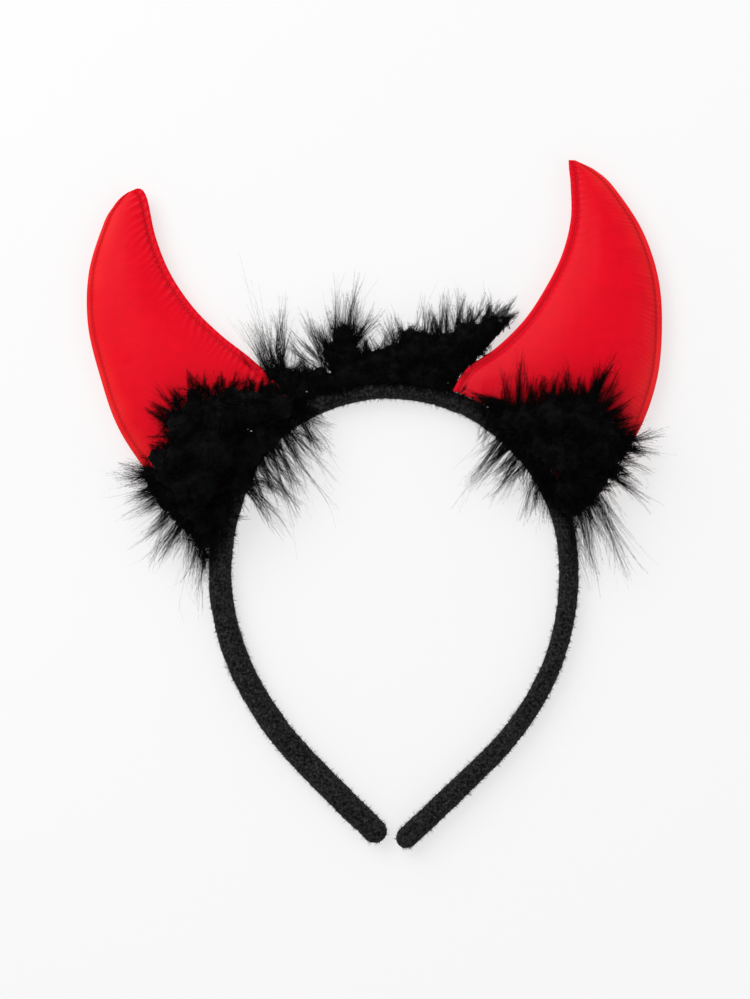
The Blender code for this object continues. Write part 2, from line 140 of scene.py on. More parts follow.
# side is -1 for the left horn, and inner and outer are the corners of its seat, as shares of
# the arm's length from the crown.
Horn = namedtuple("Horn", "name node side inner outer rows inner_pucker outer_pucker seed")
HORNS = (
    Horn("left_horn", "horn_left", -1, -0.165, -0.430, LEFT_ROWS,
         Pucker(2.3, 2.1, 0.34, 0.17), Pucker(1.7, 1.8, 0.12, 0.05), 3),
    Horn("right_horn", "horn_right", 1, 0.091, 0.370, RIGHT_ROWS,
         Pucker(2.1, 1.5, 0.12, -0.10), Pucker(1.5, 4.2, 0.21, -0.03), 8),
)

# The tables of down hold places in the photograph, in pixels from its upper left. They were put
# in one by one, and some shifted or added to close gaps. A pixel is PIXEL millimetres
# wide, and the one at PIXEL_X, PIXEL_Y lies at AT_PIXEL_X, AT_PIXEL_Y millimetres.
PIXEL = 0.33
PIXEL_X, PIXEL_Y = 394.5, 575
AT_PIXEL_X, AT_PIXEL_Y = 6.166, -23.148

# The matted clumps that make each mass of down dense: the middle of each in the front view and
# how far its barbs reach, all in millimetres.
Clump = namedtuple("Clump", "x y reach")

# The tufts that stand out of the mass: root and tip in the front view in millimetres, and fan,
# how far the tips spread to each side, in tenths of the tuft's length.
Tuft = namedtuple("Tuft", "x y tip_x tip_y fan")


def place_of(x, y):
    """Where a pixel lies, to a tenth of a millimetre."""
    return round((x - PIXEL_X) * PIXEL + AT_PIXEL_X, 1), round((PIXEL_Y - y) * PIXEL + AT_PIXEL_Y, 1)


def clumps_at(*rows):
    """Clumps from rows of x, y and reach in pixels."""
    return [Clump(*place_of(x, y), round(reach * PIXEL, 1)) for x, y, reach in rows]


def tufts_at(*rows):
    """Tufts from rows of x, y, tip_x and tip_y in pixels and fan in hundredths of the length."""
    return [Tuft(*place_of(*row[:2]), *place_of(*row[2:4]), row[4] / 10) for row in rows]


LEFT_CLUMPS = clumps_at(
    (186, 426, 24), (178, 458, 22), (203, 484, 27), (222, 416, 31), (252, 410, 27), (243, 450, 31),
    (280, 408, 20), (222, 514, 18), (216, 452, 32), (264, 438, 23), (184, 486, 20), (200, 508, 16),
    (214, 532, 12), (300, 398, 13), (240, 484, 20), (166, 472, 16), (178, 490, 17), (191, 508, 17),
    (204, 526, 14), (157, 458, 12), (223, 494, 14), (208, 544, 9), (272, 389, 11), (148, 474, 10),
    (156, 488, 13), (166, 500, 14), (178, 514, 13), (189, 527, 12), (200, 542, 11), (206, 556, 7),
    (196, 396, 12), (234, 396, 13), (190, 446, 15), (195, 412, 15), (278, 385, 9), (202, 430, 16),
)
RIGHT_CLUMPS = clumps_at(
    (508, 420, 17), (528, 422, 26), (554, 418, 29), (580, 418, 30), (600, 432, 20), (562, 452, 31),
    (592, 450, 22), (566, 486, 19), (538, 446, 23), (582, 472, 18), (568, 508, 13), (490, 412, 10),
    (606, 458, 17), (592, 486, 16), (577, 506, 13), (616, 440, 12), (464, 394, 4), (473, 398, 4),
    (482, 403, 5), (493, 408, 7), (630, 438, 8), (621, 452, 10), (612, 470, 11), (600, 482, 10),
    (590, 500, 9), (576, 526, 6),
)
CROWN_CLUMPS = clumps_at(
    (272, 374, 12), (286, 384, 10), (303, 384, 10), (320, 374, 12), (343, 336, 16), (332, 354, 15),
    (403, 358, 18), (424, 348, 21), (446, 348, 22), (468, 336, 21), (436, 370, 15), (488, 326, 13),
    (410, 338, 15), (456, 364, 13), (474, 350, 12), (296, 386, 10), (290, 402, 11), (301, 396, 12),
    (312, 391, 12), (324, 387, 12), (336, 383, 13), (348, 380, 14), (360, 378, 14), (372, 377, 14),
    (384, 376, 14), (396, 376, 14), (408, 377, 14), (420, 379, 14), (432, 382, 13), (442, 385, 11),
    (452, 388, 8), (340, 370, 12), (352, 368, 12), (358, 358, 10), (364, 366, 12), (376, 364, 12),
    (350, 350, 12), (310, 378, 10), (288, 374, 10), (345, 360, 14), (420, 366, 11), (463, 353, 9),
    (449, 374, 9), (286, 392, 9), (300, 375, 9), (378, 354, 10), (368, 356, 9), (388, 362, 12),
    (392, 350, 10), (452, 380, 6), (456, 375, 7), (463, 368, 8), (471, 359, 9), (480, 350, 9),
    (488, 341, 9), (496, 332, 8), (503, 323, 7),
)
LEFT_TUFTS = tufts_at(
    (172, 474, 124, 462, 18), (164, 474, 118, 476, 16), (168, 482, 124, 490, 18),
    (172, 490, 127, 508, 17), (180, 498, 138, 530, 16), (188, 508, 152, 556, 14),
    (178, 486, 132, 516, 12), (190, 512, 166, 572, 13), (196, 520, 178, 586, 11),
    (202, 528, 186, 594, 10), (206, 532, 196, 600, 9), (208, 536, 203, 588, 9),
    (196, 528, 190, 580, 12), (172, 432, 152, 424, 24), (176, 446, 150, 440, 22),
    (178, 408, 164, 396, 26), (184, 402, 176, 386, 24), (196, 394, 190, 376, 26),
    (210, 392, 206, 374, 26), (222, 392, 222, 372, 22), (236, 390, 240, 374, 24),
    (250, 390, 252, 376, 22), (262, 392, 264, 380, 18), (168, 418, 148, 408, 18),
    (290, 424, 324, 448, 18), (286, 430, 330, 474, 15), (280, 436, 318, 490, 14),
    (270, 448, 312, 510, 14), (262, 462, 308, 505, 14), (252, 474, 302, 502, 12),
    (244, 484, 286, 528, 11), (262, 446, 290, 520, 10), (300, 412, 334, 426, 10),
    (276, 438, 300, 500, 12), (258, 462, 276, 500, 13), (296, 418, 322, 470, 10),
    (248, 480, 268, 520, 12), (214, 516, 214, 560, 10), (222, 508, 228, 552, 8),
    (160, 480, 122, 484, 14), (160, 490, 124, 502, 14), (166, 498, 130, 520, 14),
    (174, 508, 140, 536, 14), (186, 516, 160, 560, 12), (152, 474, 126, 468, 16),
    (268, 394, 272, 376, 20), (280, 396, 288, 380, 20), (292, 400, 300, 386, 18),
)
RIGHT_TUFTS = tufts_at(
    (507, 412, 500, 366, 13), (521, 404, 523, 356, 12), (534, 400, 531, 374, 22),
    (546, 398, 552, 372, 22), (561, 394, 564, 362, 13), (577, 394, 576, 372, 22),
    (586, 398, 602, 374, 20), (600, 404, 621, 386, 16), (608, 416, 632, 408, 18),
    (598, 388, 616, 352, 7), (612, 428, 636, 424, 18), (590, 392, 596, 368, 18),
    (618, 442, 660, 430, 16), (618, 448, 658, 446, 17), (614, 456, 652, 470, 16),
    (606, 466, 642, 490, 15), (600, 474, 650, 506, 8), (586, 488, 624, 574, 13),
    (582, 500, 606, 556, 11), (580, 505, 598, 588, 10), (590, 486, 634, 556, 9),
    (579, 508, 588, 572, 11), (584, 494, 612, 540, 12), (490, 418, 478, 446, 12),
    (500, 432, 468, 470, 15), (504, 440, 468, 490, 15), (512, 450, 480, 480, 15),
    (516, 456, 478, 500, 12), (524, 464, 498, 500, 12), (530, 470, 518, 516, 9),
    (540, 480, 530, 530, 8), (536, 474, 536, 512, 10), (556, 486, 560, 520, 10),
    (566, 490, 572, 540, 9), (548, 482, 546, 522, 9), (622, 444, 648, 452, 20),
    (508, 444, 490, 462, 18), (506, 412, 460, 391, 4), (500, 408, 470, 394, 4),
    (494, 406, 458, 390, 5),
)
CROWN_TUFTS = tufts_at(
    (270, 372, 247, 322, 15), (272, 370, 258, 310, 15), (275, 368, 271, 286, 10),
    (279, 368, 286, 318, 14), (276, 368, 266, 330, 16), (318, 358, 284, 322, 16),
    (322, 352, 300, 300, 12), (328, 352, 308, 320, 15), (334, 344, 328, 306, 14),
    (340, 338, 338, 288, 13), (346, 338, 352, 282, 12), (352, 342, 370, 298, 14),
    (356, 350, 384, 316, 10), (402, 348, 386, 308, 13), (406, 344, 398, 318, 15),
    (414, 344, 414, 322, 16), (422, 340, 430, 292, 10), (432, 340, 440, 308, 13),
    (440, 338, 432, 312, 14), (450, 336, 446, 296, 11), (458, 332, 462, 288, 12),
    (468, 328, 472, 296, 13), (480, 322, 488, 294, 13), (492, 320, 500, 296, 12),
    (500, 318, 514, 296, 11), (504, 322, 516, 312, 10), (388, 362, 370, 336, 12),
    (364, 356, 362, 332, 14), (296, 378, 310, 350, 12), (308, 380, 300, 352, 12),
    (366, 364, 372, 344, 12), (380, 358, 396, 330, 12),
)

# Crumbs of dried glue on the down and along the band: their places in the front view and their
# sizes, in millimetres.
Crumb = namedtuple("Crumb", "x y size")
CRUMBS = (
    Crumb(36.7, 32.0, 0.9),
    Crumb(35.4, 32.9, 0.6),
    Crumb(23.8, 40.2, 0.6),
    Crumb(-22.7, 37.2, 0.6),
    Crumb(-40.5, 24.0, 0.8),
    Crumb(-41.6, 24.6, 0.5),
)


# Settings

def length_setting(name, description, size, precision=4):
    """A length whose default is given in millimetres."""
    return FloatProperty(name=name, description=description, default=size * MM, unit="LENGTH",
                         precision=precision)


def colour_setting(name, description, colour):
    return FloatVectorProperty(name=name, description=description, default=colour, subtype="COLOR")


class BandSettings(bpy.types.PropertyGroup):
    """The hoop and its felt"""

    half_span: length_setting("Half span", "Middle of the hoop to its widest line", 57.5)
    rise: length_setting("Rise", "Widest line up to the crown", 61.4)
    drop: length_setting("Drop", "Widest line down to the lower tip", 88.8)
    width: length_setting("Width", "Width that the front shows", 7.0)
    depth: length_setting("Depth", "Front to back, before the back is pressed flat", 8.4)
    pressed: length_setting("Pressed", "How far the back is pressed flat", 0.5)
    tip_rounding: length_setting("Tip rounding", "Length over which a tip rounds off", 4.0)
    lump: length_setting("Lumps", "Height of the felt's lumps", 0.34, 5)
    fuzz_length: length_setting("Fuzz length", "Longest loose fibres of the felt", 2.2)
    fuzz_count: IntProperty(name="Fuzz", description="Number of loose fibres", default=38000)
    felt: colour_setting("Felt", "Colour of the felt", (0.0025, 0.0024, 0.0027))
    speck: colour_setting("Specks", "Colour of the felt's pale fibres", (0.090, 0.084, 0.090))


class HornSettings(bpy.types.PropertyGroup):
    """The stuffed horns and their seams"""

    height: length_setting("Height", "Middle of the seat up to the tip", 92.0)
    left_lean: length_setting("Left lean", "How far the left tip leans out", 32.6)
    right_lean: length_setting("Right lean", "How far the right tip leans out", 13.8)
    padding: length_setting("Padding", "Thickness where the stuffing is fullest", 11.0)
    seam_width: length_setting("Seam width", "Margin outside the topstitching", 2.1)
    seam_thickness: length_setting("Seam thickness", "Thickness of that margin", 1.6)
    clearance: length_setting("Clearance", "Gap to the band and to the floor", 0.15, 5)
    stitch_pitch: length_setting("Stitch pitch", "One stitch to the next", 1.15, 5)
    thread_width: length_setting("Thread", "Thickness of the topstitching thread", 0.42, 5)
    satin: colour_setting("Satin", "Colour of the satin", (0.81, 0.0, 0.012))
    thread: colour_setting("Thread colour", "Colour of the topstitching", (0.54, 0.0, 0.014))


class DownSettings(bpy.types.PropertyGroup):
    """The marabou"""

    barb: length_setting("Barb width", "Width of a tuft's barb at its root", 0.16, 5)
    nap: length_setting("Nap", "Length of the short barbs all over the mass", 6.0)
    nap_barb: length_setting("Nap barb width", "Width of a short barb at its root", 0.30, 5)
    barbule: length_setting("Barbule length", "Length of the longest barbules", 1.7)
    barbule_width: length_setting("Barbule width", "Width of a barbule at its root", 0.07, 5)
    wisps: IntProperty(name="Wisps", description="Wisps to each tuft", default=6)
    barbs: IntProperty(name="Barbs", description="Barbs to each wisp", default=11)
    barbules: IntProperty(name="Barbules", description="Barbules to each barb of a tuft", default=40)
    strays: IntProperty(name="Strays", description="Long bare hairs to each tuft", default=3)
    nap_wisps: IntProperty(name="Nap wisps", description="Short wisps to each mass", default=500)
    nap_barbs: IntProperty(name="Nap barbs", description="Barbs to each short wisp", default=8)
    nap_barbules: IntProperty(name="Nap barbules", description="Barbules to each short barb", default=18)
    colour: colour_setting("Down", "Colour of the down", (0.0016, 0.0016, 0.0018))


class StageSettings(bpy.types.PropertyGroup):
    """Floor, light and camera"""

    lens: FloatProperty(name="Lens", description="Focal length in millimetres", default=100.0)
    frame_height: FloatProperty(name="Frame height", description="What the view takes in, top to bottom",
                                default=0.3297, unit="LENGTH", precision=4)
    floor: colour_setting("Floor", "Colour of the floor", (0.93, 0.93, 0.93))
    key: FloatProperty(name="Key light", description="Power of the soft light from the upper left",
                       default=9.0, unit="POWER")
    sky: FloatProperty(name="Sky", description="Strength of the light from all round", default=0.50)


class HeadbandSettings(bpy.types.PropertyGroup):
    """All sizes and colours of the headband"""

    band: PointerProperty(type=BandSettings, name="Band", description="The hoop and its felt")
    horns: PointerProperty(type=HornSettings, name="Horns", description="The stuffed horns")
    down: PointerProperty(type=DownSettings, name="Down", description="The marabou")
    stage: PointerProperty(type=StageSettings, name="Stage", description="Floor, light and camera")


# Curves and meshes

def smooth(rows, steps):
    """Points on a smooth curve through the rows, so many steps to each gap."""
    rows = np.array(rows, float)
    ends = np.vstack([2 * rows[0] - rows[1], rows, 2 * rows[-1] - rows[-2]])
    points = []
    for before, start, end, after in zip(ends, ends[1:], ends[2:], ends[3:]):
        for t in np.linspace(0.0, 1.0, steps, endpoint=False):
            bend = 2 * before - 5 * start + 4 * end - after
            twist = 3 * start - before - 3 * end + after
            points.append(start + 0.5 * ((end - before) * t + bend * t**2 + twist * t**3))
    points.append(rows[-1])
    return np.array(points)


def unit(vectors):
    """The vectors made one long."""
    return vectors / np.maximum(np.linalg.norm(vectors, axis=-1, keepdims=True), 1e-12)


def points_of(mesh):
    return np.array([vertex.co for vertex in mesh.vertices])


def along_curve(points):
    """Length from the start to each point of a curve."""
    steps = np.linalg.norm(np.diff(points, axis=0), axis=1)
    return np.concatenate([[0.0], np.cumsum(steps)])


def roughness_of(points, size, seed):
    """Smooth noise from -1 to 1 at each point, with features of about that size."""
    offset = Vector((seed * 7.31, seed * 3.17, seed * 5.93))
    return np.array([noise.noise(Vector(p) / size + offset) for p in points])


def grid_faces(rows, columns, start=0):
    """Quads of a grid of rings, each ring closed."""
    row = np.arange(rows - 1)[:, None] * columns + start
    column = np.arange(columns)[None, :]
    after = (column + 1) % columns
    quads = np.stack([row + column, row + after, row + columns + after, row + columns + column], axis=-1)
    return quads.reshape(-1, 4)


def strip_faces(strips, stations, start=0):
    """Quads of ribbons, each with two points to a station."""
    first = (np.arange(strips)[:, None] * stations + np.arange(stations - 1)[None, :]) * 2 + start
    return np.stack([first, first + 1, first + 3, first + 2], axis=-1).reshape(-1, 4)


def ball(rings, sides, cut):
    """Points of a unit ball as rings by sides by three, cut off near its poles."""
    polar = np.linspace(cut, math.pi - cut, rings)[:, None]
    turn = np.arange(sides)[None, :] * 2 * math.pi / sides
    return np.stack([np.sin(polar) * np.cos(turn), np.sin(polar) * np.sin(turn),
                     np.cos(polar) * np.ones_like(turn)], axis=-1)


def new_piece(name, points, face_sets, material, replaced=()):
    """A shaded mesh from points and arrays of faces, riding on the headband."""
    mesh = bpy.data.meshes.new(name)
    mesh.vertices.add(len(points))
    mesh.vertices.foreach_set("co", np.ascontiguousarray(points, np.float32).ravel())
    corners = np.concatenate([faces.ravel() for faces in face_sets])
    sizes = np.concatenate([np.full(len(faces), faces.shape[1]) for faces in face_sets])
    mesh.loops.add(len(corners))
    mesh.loops.foreach_set("vertex_index", corners.astype(np.int32))
    mesh.polygons.add(len(sizes))
    mesh.polygons.foreach_set("loop_start", np.concatenate([[0], np.cumsum(sizes)[:-1]]).astype(np.int32))
    mesh.update(calc_edges=True)
    mesh.shade_smooth()
    mesh.materials.append(material)
    piece = bpy.data.objects.new(name, mesh)
    bpy.context.scene.collection.objects.link(piece)
    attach(piece, "root")
    if replaced:
        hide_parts(*replaced)
    return piece


def add_mask(piece, name, values):
    """One value at each point, for a material to read."""
    mask = piece.data.attributes.new(name, "FLOAT", "POINT")
    mask.data.foreach_set("value", np.asarray(values, np.float32).ravel())


# Hoop

Hoop = namedtuple("Hoop", "length points width crown run")
LINE_STEPS = 24
FELT_SIDES = 36
FELT_STATIONS = 700
FUZZ_SEED = 21
FUZZ_HALF_WIDTH = 0.09 * MM


def make_hoop(band):
    """The centreline from the left tip over the crown to the right tip, where the CAD has it."""
    rows = []
    for arm, side in ((LEFT_ARM[::-1], -1), (RIGHT_ARM[1:], 1)):
        for row in arm:
            reach = band.rise if row.height > 0 else band.drop
            rows.append((side * row.across * band.half_span, row.height * reach, row.width * band.width))
    line = smooth(rows, LINE_STEPS)
    length = along_curve(line[:, :2])
    hoop = Hoop(length, line[:, :2], line[:, 2], length[LINE_STEPS * (len(LEFT_ARM) - 1)], band.width / 2)
    centre, outward, width = band_places(hoop, length)
    edges = np.vstack([centre + outward * width[:, None] / 2, centre - outward * width[:, None] / 2])
    low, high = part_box("band")
    shift = np.array(((low.x + high.x) / 2 - (edges[:, 0].min() + edges[:, 0].max()) / 2,
                      high.y - edges[:, 1].max()))
    return hoop._replace(points=hoop.points + shift)


def band_places(hoop, lengths):
    """Centres, outward directions and widths of the band at lengths from its left tip."""
    lengths = np.atleast_1d(lengths)

    def at(where):
        return np.stack([np.interp(where, hoop.length, hoop.points[:, k]) for k in (0, 1)], axis=-1)

    run = unit(at(lengths + hoop.run) - at(lengths - hoop.run))
    centre = np.column_stack([at(lengths), np.zeros(len(lengths))])
    outward = np.column_stack([-run[:, 1], run[:, 0], np.zeros(len(lengths))])
    return centre, outward, np.interp(lengths, hoop.length, hoop.width)


def band_shares(hoop, shares):
    """The same at shares of an arm's length from the crown, negative on the left arm."""
    shares = np.atleast_1d(shares)
    arm = np.where(shares < 0, hoop.crown, hoop.length[-1] - hoop.crown)
    return band_places(hoop, hoop.crown + shares * arm)


def felt_surface(hoop, band, lengths, turns):
    """Points and outward normals of the felt at lengths along the band and turns round it."""
    centre, outward, width = band_places(hoop, lengths)
    whole = hoop.length[-1]
    from_tip = np.minimum(lengths, whole - lengths) / band.tip_rounding
    scale = np.sqrt(np.clip(1 - np.clip(1 - from_tip, 0, 1) ** 2, 0.0, 1.0))[:, None]
    across = scale * width[:, None] / 2 * np.sin(turns)
    rise = -scale * band.depth / 2 * np.cos(turns)
    middle = band.depth / 2 - band.pressed
    up = np.array((0.0, 0.0, 1.0))
    points = centre[:, None, :] + outward[:, None, :] * across[..., None] + up * (middle + rise)[..., None]
    normals = outward[:, None, :] * np.sin(turns)[..., None] - up * np.cos(turns)[..., None]
    return points, unit(normals)


def make_felt_band(hoop, band, material):
    """The felt as one closed tube with rounded ends."""
    rounding = band.tip_rounding * (1 - np.cos(np.radians(np.linspace(8, 90, 12))))
    whole = hoop.length[-1]
    straight = np.linspace(band.tip_rounding, whole - band.tip_rounding, FELT_STATIONS)[1:-1]
    lengths = np.concatenate([rounding, straight, whole - rounding[::-1]])
    sides = FELT_SIDES
    turns = np.broadcast_to(np.arange(sides) * 2 * math.pi / sides, (len(lengths), sides))
    points, normals = felt_surface(hoop, band, lengths, turns)
    flat = points.reshape(-1, 3)
    lumps = 1.2 * roughness_of(flat, 0.9 * MM, 1) + 0.6 * roughness_of(flat, 5.5 * MM, 2)
    flat = flat + normals.reshape(-1, 3) * (lumps * band.lump)[:, None]
    flat[:, 2] = np.maximum(flat[:, 2], 0.0)
    ends = [flat[:sides].mean(axis=0), flat[-sides:].mean(axis=0)]
    flat = np.vstack([flat, ends])
    ring = np.arange(sides)
    start_fan, end_fan = (
        np.column_stack([first + ring, first + (ring + 1) % sides, np.full(sides, tip)])
        for first, tip in ((0, len(flat) - 2), ((len(lengths) - 1) * sides, len(flat) - 1)))
    quads = grid_faces(len(lengths), sides)[:, ::-1]
    return new_piece("felt_band", flat, [quads, start_fan, end_fan[:, ::-1]], material, ["band"])


def make_felt_fuzz(hoop, band, material):
    """Loose fibres that stand off the felt, each a thin triangle."""
    rng = np.random.default_rng(FUZZ_SEED)
    count = band.fuzz_count
    lengths = rng.uniform(0.3 * MM, hoop.length[-1] - 0.3 * MM, count)
    turns = rng.uniform(0, 2 * math.pi, (count, 1))
    points, normals = felt_surface(hoop, band, lengths, turns)
    roots, out = points[:, 0], normals[:, 0]
    lay = unit(rng.normal(size=(count, 3)))
    direction = unit(out * rng.uniform(0.1, 0.9, (count, 1)) + lay * 0.9)
    reach = band.fuzz_length * rng.uniform(0.3, 1.0, (count, 1)) ** 1.9
    side = unit(np.cross(direction, rng.normal(size=(count, 3)))) * FUZZ_HALF_WIDTH
    roots = roots - out * 0.1 * MM
    tips = roots + direction * reach
    corners = np.stack([roots - side, roots + side, tips], axis=1).reshape(-1, 3)
    corners[:, 2] = np.maximum(corners[:, 2], 0.02 * MM)
    faces = np.arange(count * 3).reshape(-1, 3)
    return new_piece("felt_fuzz", corners, [faces], material)


# Horns

# The simulation that swells the padding.
CLOTH_VOXEL = 4 * MM
CLOTH_FRAMES = 20
CLOTH_PRESSURE = 20
SEAM_TILT = 0.6  # upward share of the normal, below which a point belongs to the held seam
SWELL_CAP = 0.8 * MM
SWELL_NEAR = 8  # points of the copy that each point of the fine mesh follows

# The seam's groove and the folds, in metres.
GROOVE_DEPTH = 0.30 * MM
GROOVE_WIDTH = 0.45 * MM
SOFT_FOLDS = 0.30 * MM
FOOT_FOLDS = 0.28 * MM


def horn_outline(hoop, horns, horn, sections):
    """Inner and outer edge of a horn and its padding, section by section from the seat, and
    how much of the seat's own curve each section keeps."""
    def seat(shares):
        centre, outward, width = band_shares(hoop, shares)
        return centre + outward * (width / 2 + horns.clearance)[:, None]

    seat_shares = np.array([horn.inner, (horn.inner + horn.outer) / 2, horn.outer])
    inner_corner, middle, outer_corner = seat(seat_shares)
    lean = horns.left_lean if horn.side < 0 else horns.right_lean
    tip = middle + np.array((horn.side * lean, horns.height, 0.0))
    rows = smooth(horn.rows, sections)
    along = rows[:, :1]

    def bowed(corner, bow):
        line = tip - corner
        return corner + line * along + np.array((line[1], -line[0], 0.0)) * (horn.side * bow[:, None])

    inner, outer = bowed(inner_corner, rows[:, 1]), bowed(outer_corner, rows[:, 2])
    fade = np.maximum(0.0, 1 - along[:, 0] / BASE_FADE) ** 2
    return inner, outer, rows[:, 3], fade, seat


def horn_shares(margin):
    """Places across a panel, close together at the seams."""
    edge = margin * np.array([0.0, 0.03, 0.09, 0.18, 0.34, 0.56, 0.78, 0.92, 1.0])
    inside = 0.5 - 0.5 * np.cos(np.linspace(0, math.pi, 41)[1:-1])
    inside = 0.55 * inside + 0.45 * np.linspace(0, 1, 41)[1:-1]
    return np.concatenate([edge, margin + (1 - 2 * margin) * inside, 1 - edge[::-1]])


def cloth_swell(piece, share):
    """Press the padding outward: a coarse copy, held along its seam, swells as cloth, and the
    fine mesh follows it in height, capped, by its share at each point. The copy is removed."""
    scene, depsgraph = bpy.context.scene, bpy.context.evaluated_depsgraph_get()
    coarse = bpy.data.objects.new("coarse_pad", piece.data.copy())
    scene.collection.objects.link(coarse)
    remesh = coarse.modifiers.new("remesh", "REMESH")
    remesh.mode = "VOXEL"
    remesh.voxel_size = CLOTH_VOXEL
    depsgraph.update()
    coarse.data = bpy.data.meshes.new_from_object(coarse.evaluated_get(depsgraph))
    coarse.modifiers.remove(remesh)
    rest = points_of(coarse.data)
    seam = coarse.vertex_groups.new(name="seam")
    normals = np.array([vertex.normal for vertex in coarse.data.vertices])
    seam.add([int(number) for number in np.flatnonzero(np.abs(normals[:, 2]) < SEAM_TILT)], 1.0, "REPLACE")
    cloth = coarse.modifiers.new("cloth", "CLOTH")
    cloth.settings.vertex_group_mass = "seam"
    cloth.settings.use_pressure = True
    cloth.settings.uniform_pressure_force = CLOTH_PRESSURE
    cloth.settings.effector_weights.gravity = 0
    cloth.point_cache.frame_end = CLOTH_FRAMES
    for number in range(1, CLOTH_FRAMES + 1):
        scene.frame_set(number)
    swollen = coarse.evaluated_get(bpy.context.evaluated_depsgraph_get()).to_mesh()
    moved = points_of(swollen)[:, 2] - rest[:, 2]
    bpy.data.objects.remove(coarse)
    scene.frame_set(1)
    tree = KDTree(len(rest))
    for number, point in enumerate(rest):
        tree.insert(point, number)
    tree.balance()
    fine = points_of(piece.data)
    rise = np.zeros(len(fine))
    for number, point in enumerate(fine):
        _, indices, distances = zip(*tree.find_n(point, SWELL_NEAR))
        weights = 1 / (np.array(distances) + MM) ** 2
        rise[number] = (weights * moved[list(indices)]).sum() / weights.sum()
    fine[:, 2] += share * np.clip(rise, -SWELL_CAP, SWELL_CAP)
    fine[:, 2] = np.maximum(fine[:, 2], 0.1 * MM)
    piece.data.vertices.foreach_set("co", fine.ravel())
    piece.data.update()


def make_horn(hoop, horns, horn, material):
    """Two satin panels, padded, with a flat margin, a stitched groove and puckers. They start
    a little thin, as the padding swells."""
    inner, outer, padding, fade, seat = horn_outline(hoop, horns, horn, 22)
    width = np.linalg.norm(outer - inner, axis=1)
    margins = np.minimum(horns.seam_width, 0.25 * width) / width
    shares = np.array([horn_shares(margin) for margin in margins])
    straight = inner[:, None] + (outer - inner)[:, None] * shares[..., None]
    foot = seat((horn.inner + (horn.outer - horn.inner) * shares[0]))
    foot_line = inner[0] + (outer[0] - inner[0]) * shares[0][:, None]
    middle = straight + (foot - foot_line)[None] * fade[:, None, None]

    edge_length = (along_curve(inner)[:, None], along_curve(outer)[:, None])
    to_edge = np.minimum(shares, 1 - shares) * width[:, None]
    near_inner = shares < 0.5
    margin_width = (margins * width)[:, None]
    inside = to_edge - margin_width
    place = np.clip((shares - margins[:, None]) / (1 - 2 * margins[:, None]), 0, 1)
    crown = np.clip(1 - (2 * place - 1) ** 2, 0, 1) ** 0.6
    swell = np.maximum(padding[:, None] * horns.padding - horns.seam_thickness - SWELL_CAP, 0) * crown / 2
    rim = np.sqrt(np.clip(1 - np.clip(1 - to_edge / (0.55 * MM), 0, 1) ** 2, 0, 1))
    lip = horns.seam_thickness / 2 * rim
    groove = -GROOVE_DEPTH * np.exp(-((inside / GROOVE_WIDTH) ** 2))
    groove = groove * np.clip(margin_width / (1.5 * MM), 0, 1)

    up = middle.reshape(-1, 3)
    wander = roughness_of(up, 9 * MM, horn.seed).reshape(shares.shape)
    uneven = roughness_of(up, 6 * MM, horn.seed + 1).reshape(shares.shape)
    puckers = np.zeros(shares.shape)
    for near, length, pucker in ((near_inner, edge_length[0], horn.inner_pucker),
                                 (~near_inner, edge_length[1], horn.outer_pucker)):
        turns = length / (pucker.pitch * MM) + pucker.slant * inside / MM + 0.9 * wander
        reach = np.exp(-np.clip(inside, 0, None) / (pucker.reach * MM))
        reach = reach * np.clip(inside / (0.8 * MM), -0.35, 1)
        wave = np.sin(2 * math.pi * turns) - 0.35 * np.cos(4 * math.pi * turns)
        puckers += near * wave * np.abs(reach) * pucker.height * MM * (0.75 + 0.5 * uneven)
    puckers *= np.clip(width[:, None] / (12 * MM), 0, 1)
    soft = SOFT_FOLDS * roughness_of(up, 16 * MM, horn.seed + 2).reshape(shares.shape) * crown
    foot_folds = FOOT_FOLDS * crown * np.exp(-edge_length[0] / (9 * MM)) * np.sin(
        2 * math.pi * (shares * width[:, None] / (6.5 * MM) + 0.6 * wander))
    centre = horns.clearance + horns.padding / 2
    front = lip + groove + swell + puckers + soft + foot_folds
    back = lip + groove + swell - puckers * 0.8 + soft * 0.6
    sections, across = shares.shape
    floor = centre - 0.1 * MM
    back = np.minimum(back, floor)
    rings = np.concatenate([middle, middle[:, ::-1]], axis=1)
    rings[..., 2] = np.concatenate([centre + front, (centre - back)[:, ::-1]], axis=1)
    cap = rings[0].copy()
    cap[:, 2] = centre
    tip = rings[-1].copy()
    tip[:, 2] = centre
    rings = np.concatenate([cap[None], rings, tip[None]])
    faces = grid_faces(sections + 2, 2 * across)
    if horn.side > 0:
        faces = faces[:, ::-1]
    piece = new_piece(horn.name, rings.reshape(-1, 3), [faces], material, [horn.node])

    share = np.concatenate([crown, crown[:, ::-1]], axis=1)
    cloth_swell(piece, np.concatenate([0 * share[:1], share, 0 * share[-1:]]).ravel())

    # Painted highlight: the outer edge is tinted paler, as if lit from that side; the inner edge gets
    # none.
    pale = np.where(near_inner, 0.0, np.exp(-(to_edge / (5.0 * MM)) ** 2))
    pale = pale * (0.55 + 0.45 * wander)
    # Painted shade along the stitched groove
    stitch = np.exp(-((inside / (0.75 * MM)) ** 2))
    base = np.exp(-edge_length[0] / (16 * MM)) * np.ones(shares.shape)
    # Painted light on the puckers: a painted highlight on their ridges and painted shade in their hollows
    relief = puckers / (0.25 * MM)
    for name, mask in (
        ("margin", pale), ("painted_groove_shade", stitch), ("base_shade", base),
        ("painted_pucker_highlight", np.clip(relief, 0, 1)), ("painted_pucker_shade", np.clip(-relief, 0, 1)),
    ):
        ring = np.concatenate([mask, mask[:, ::-1]], axis=1)
        add_mask(piece, name, np.concatenate([ring[:1], ring, ring[-1:]]))
    lines = []
    for column in (8, across - 9):
        for height in (front, -back):
            line = middle[:, column].copy()
            line[:, 2] = centre + height[:, column]
            lines.append(line)
    return lines


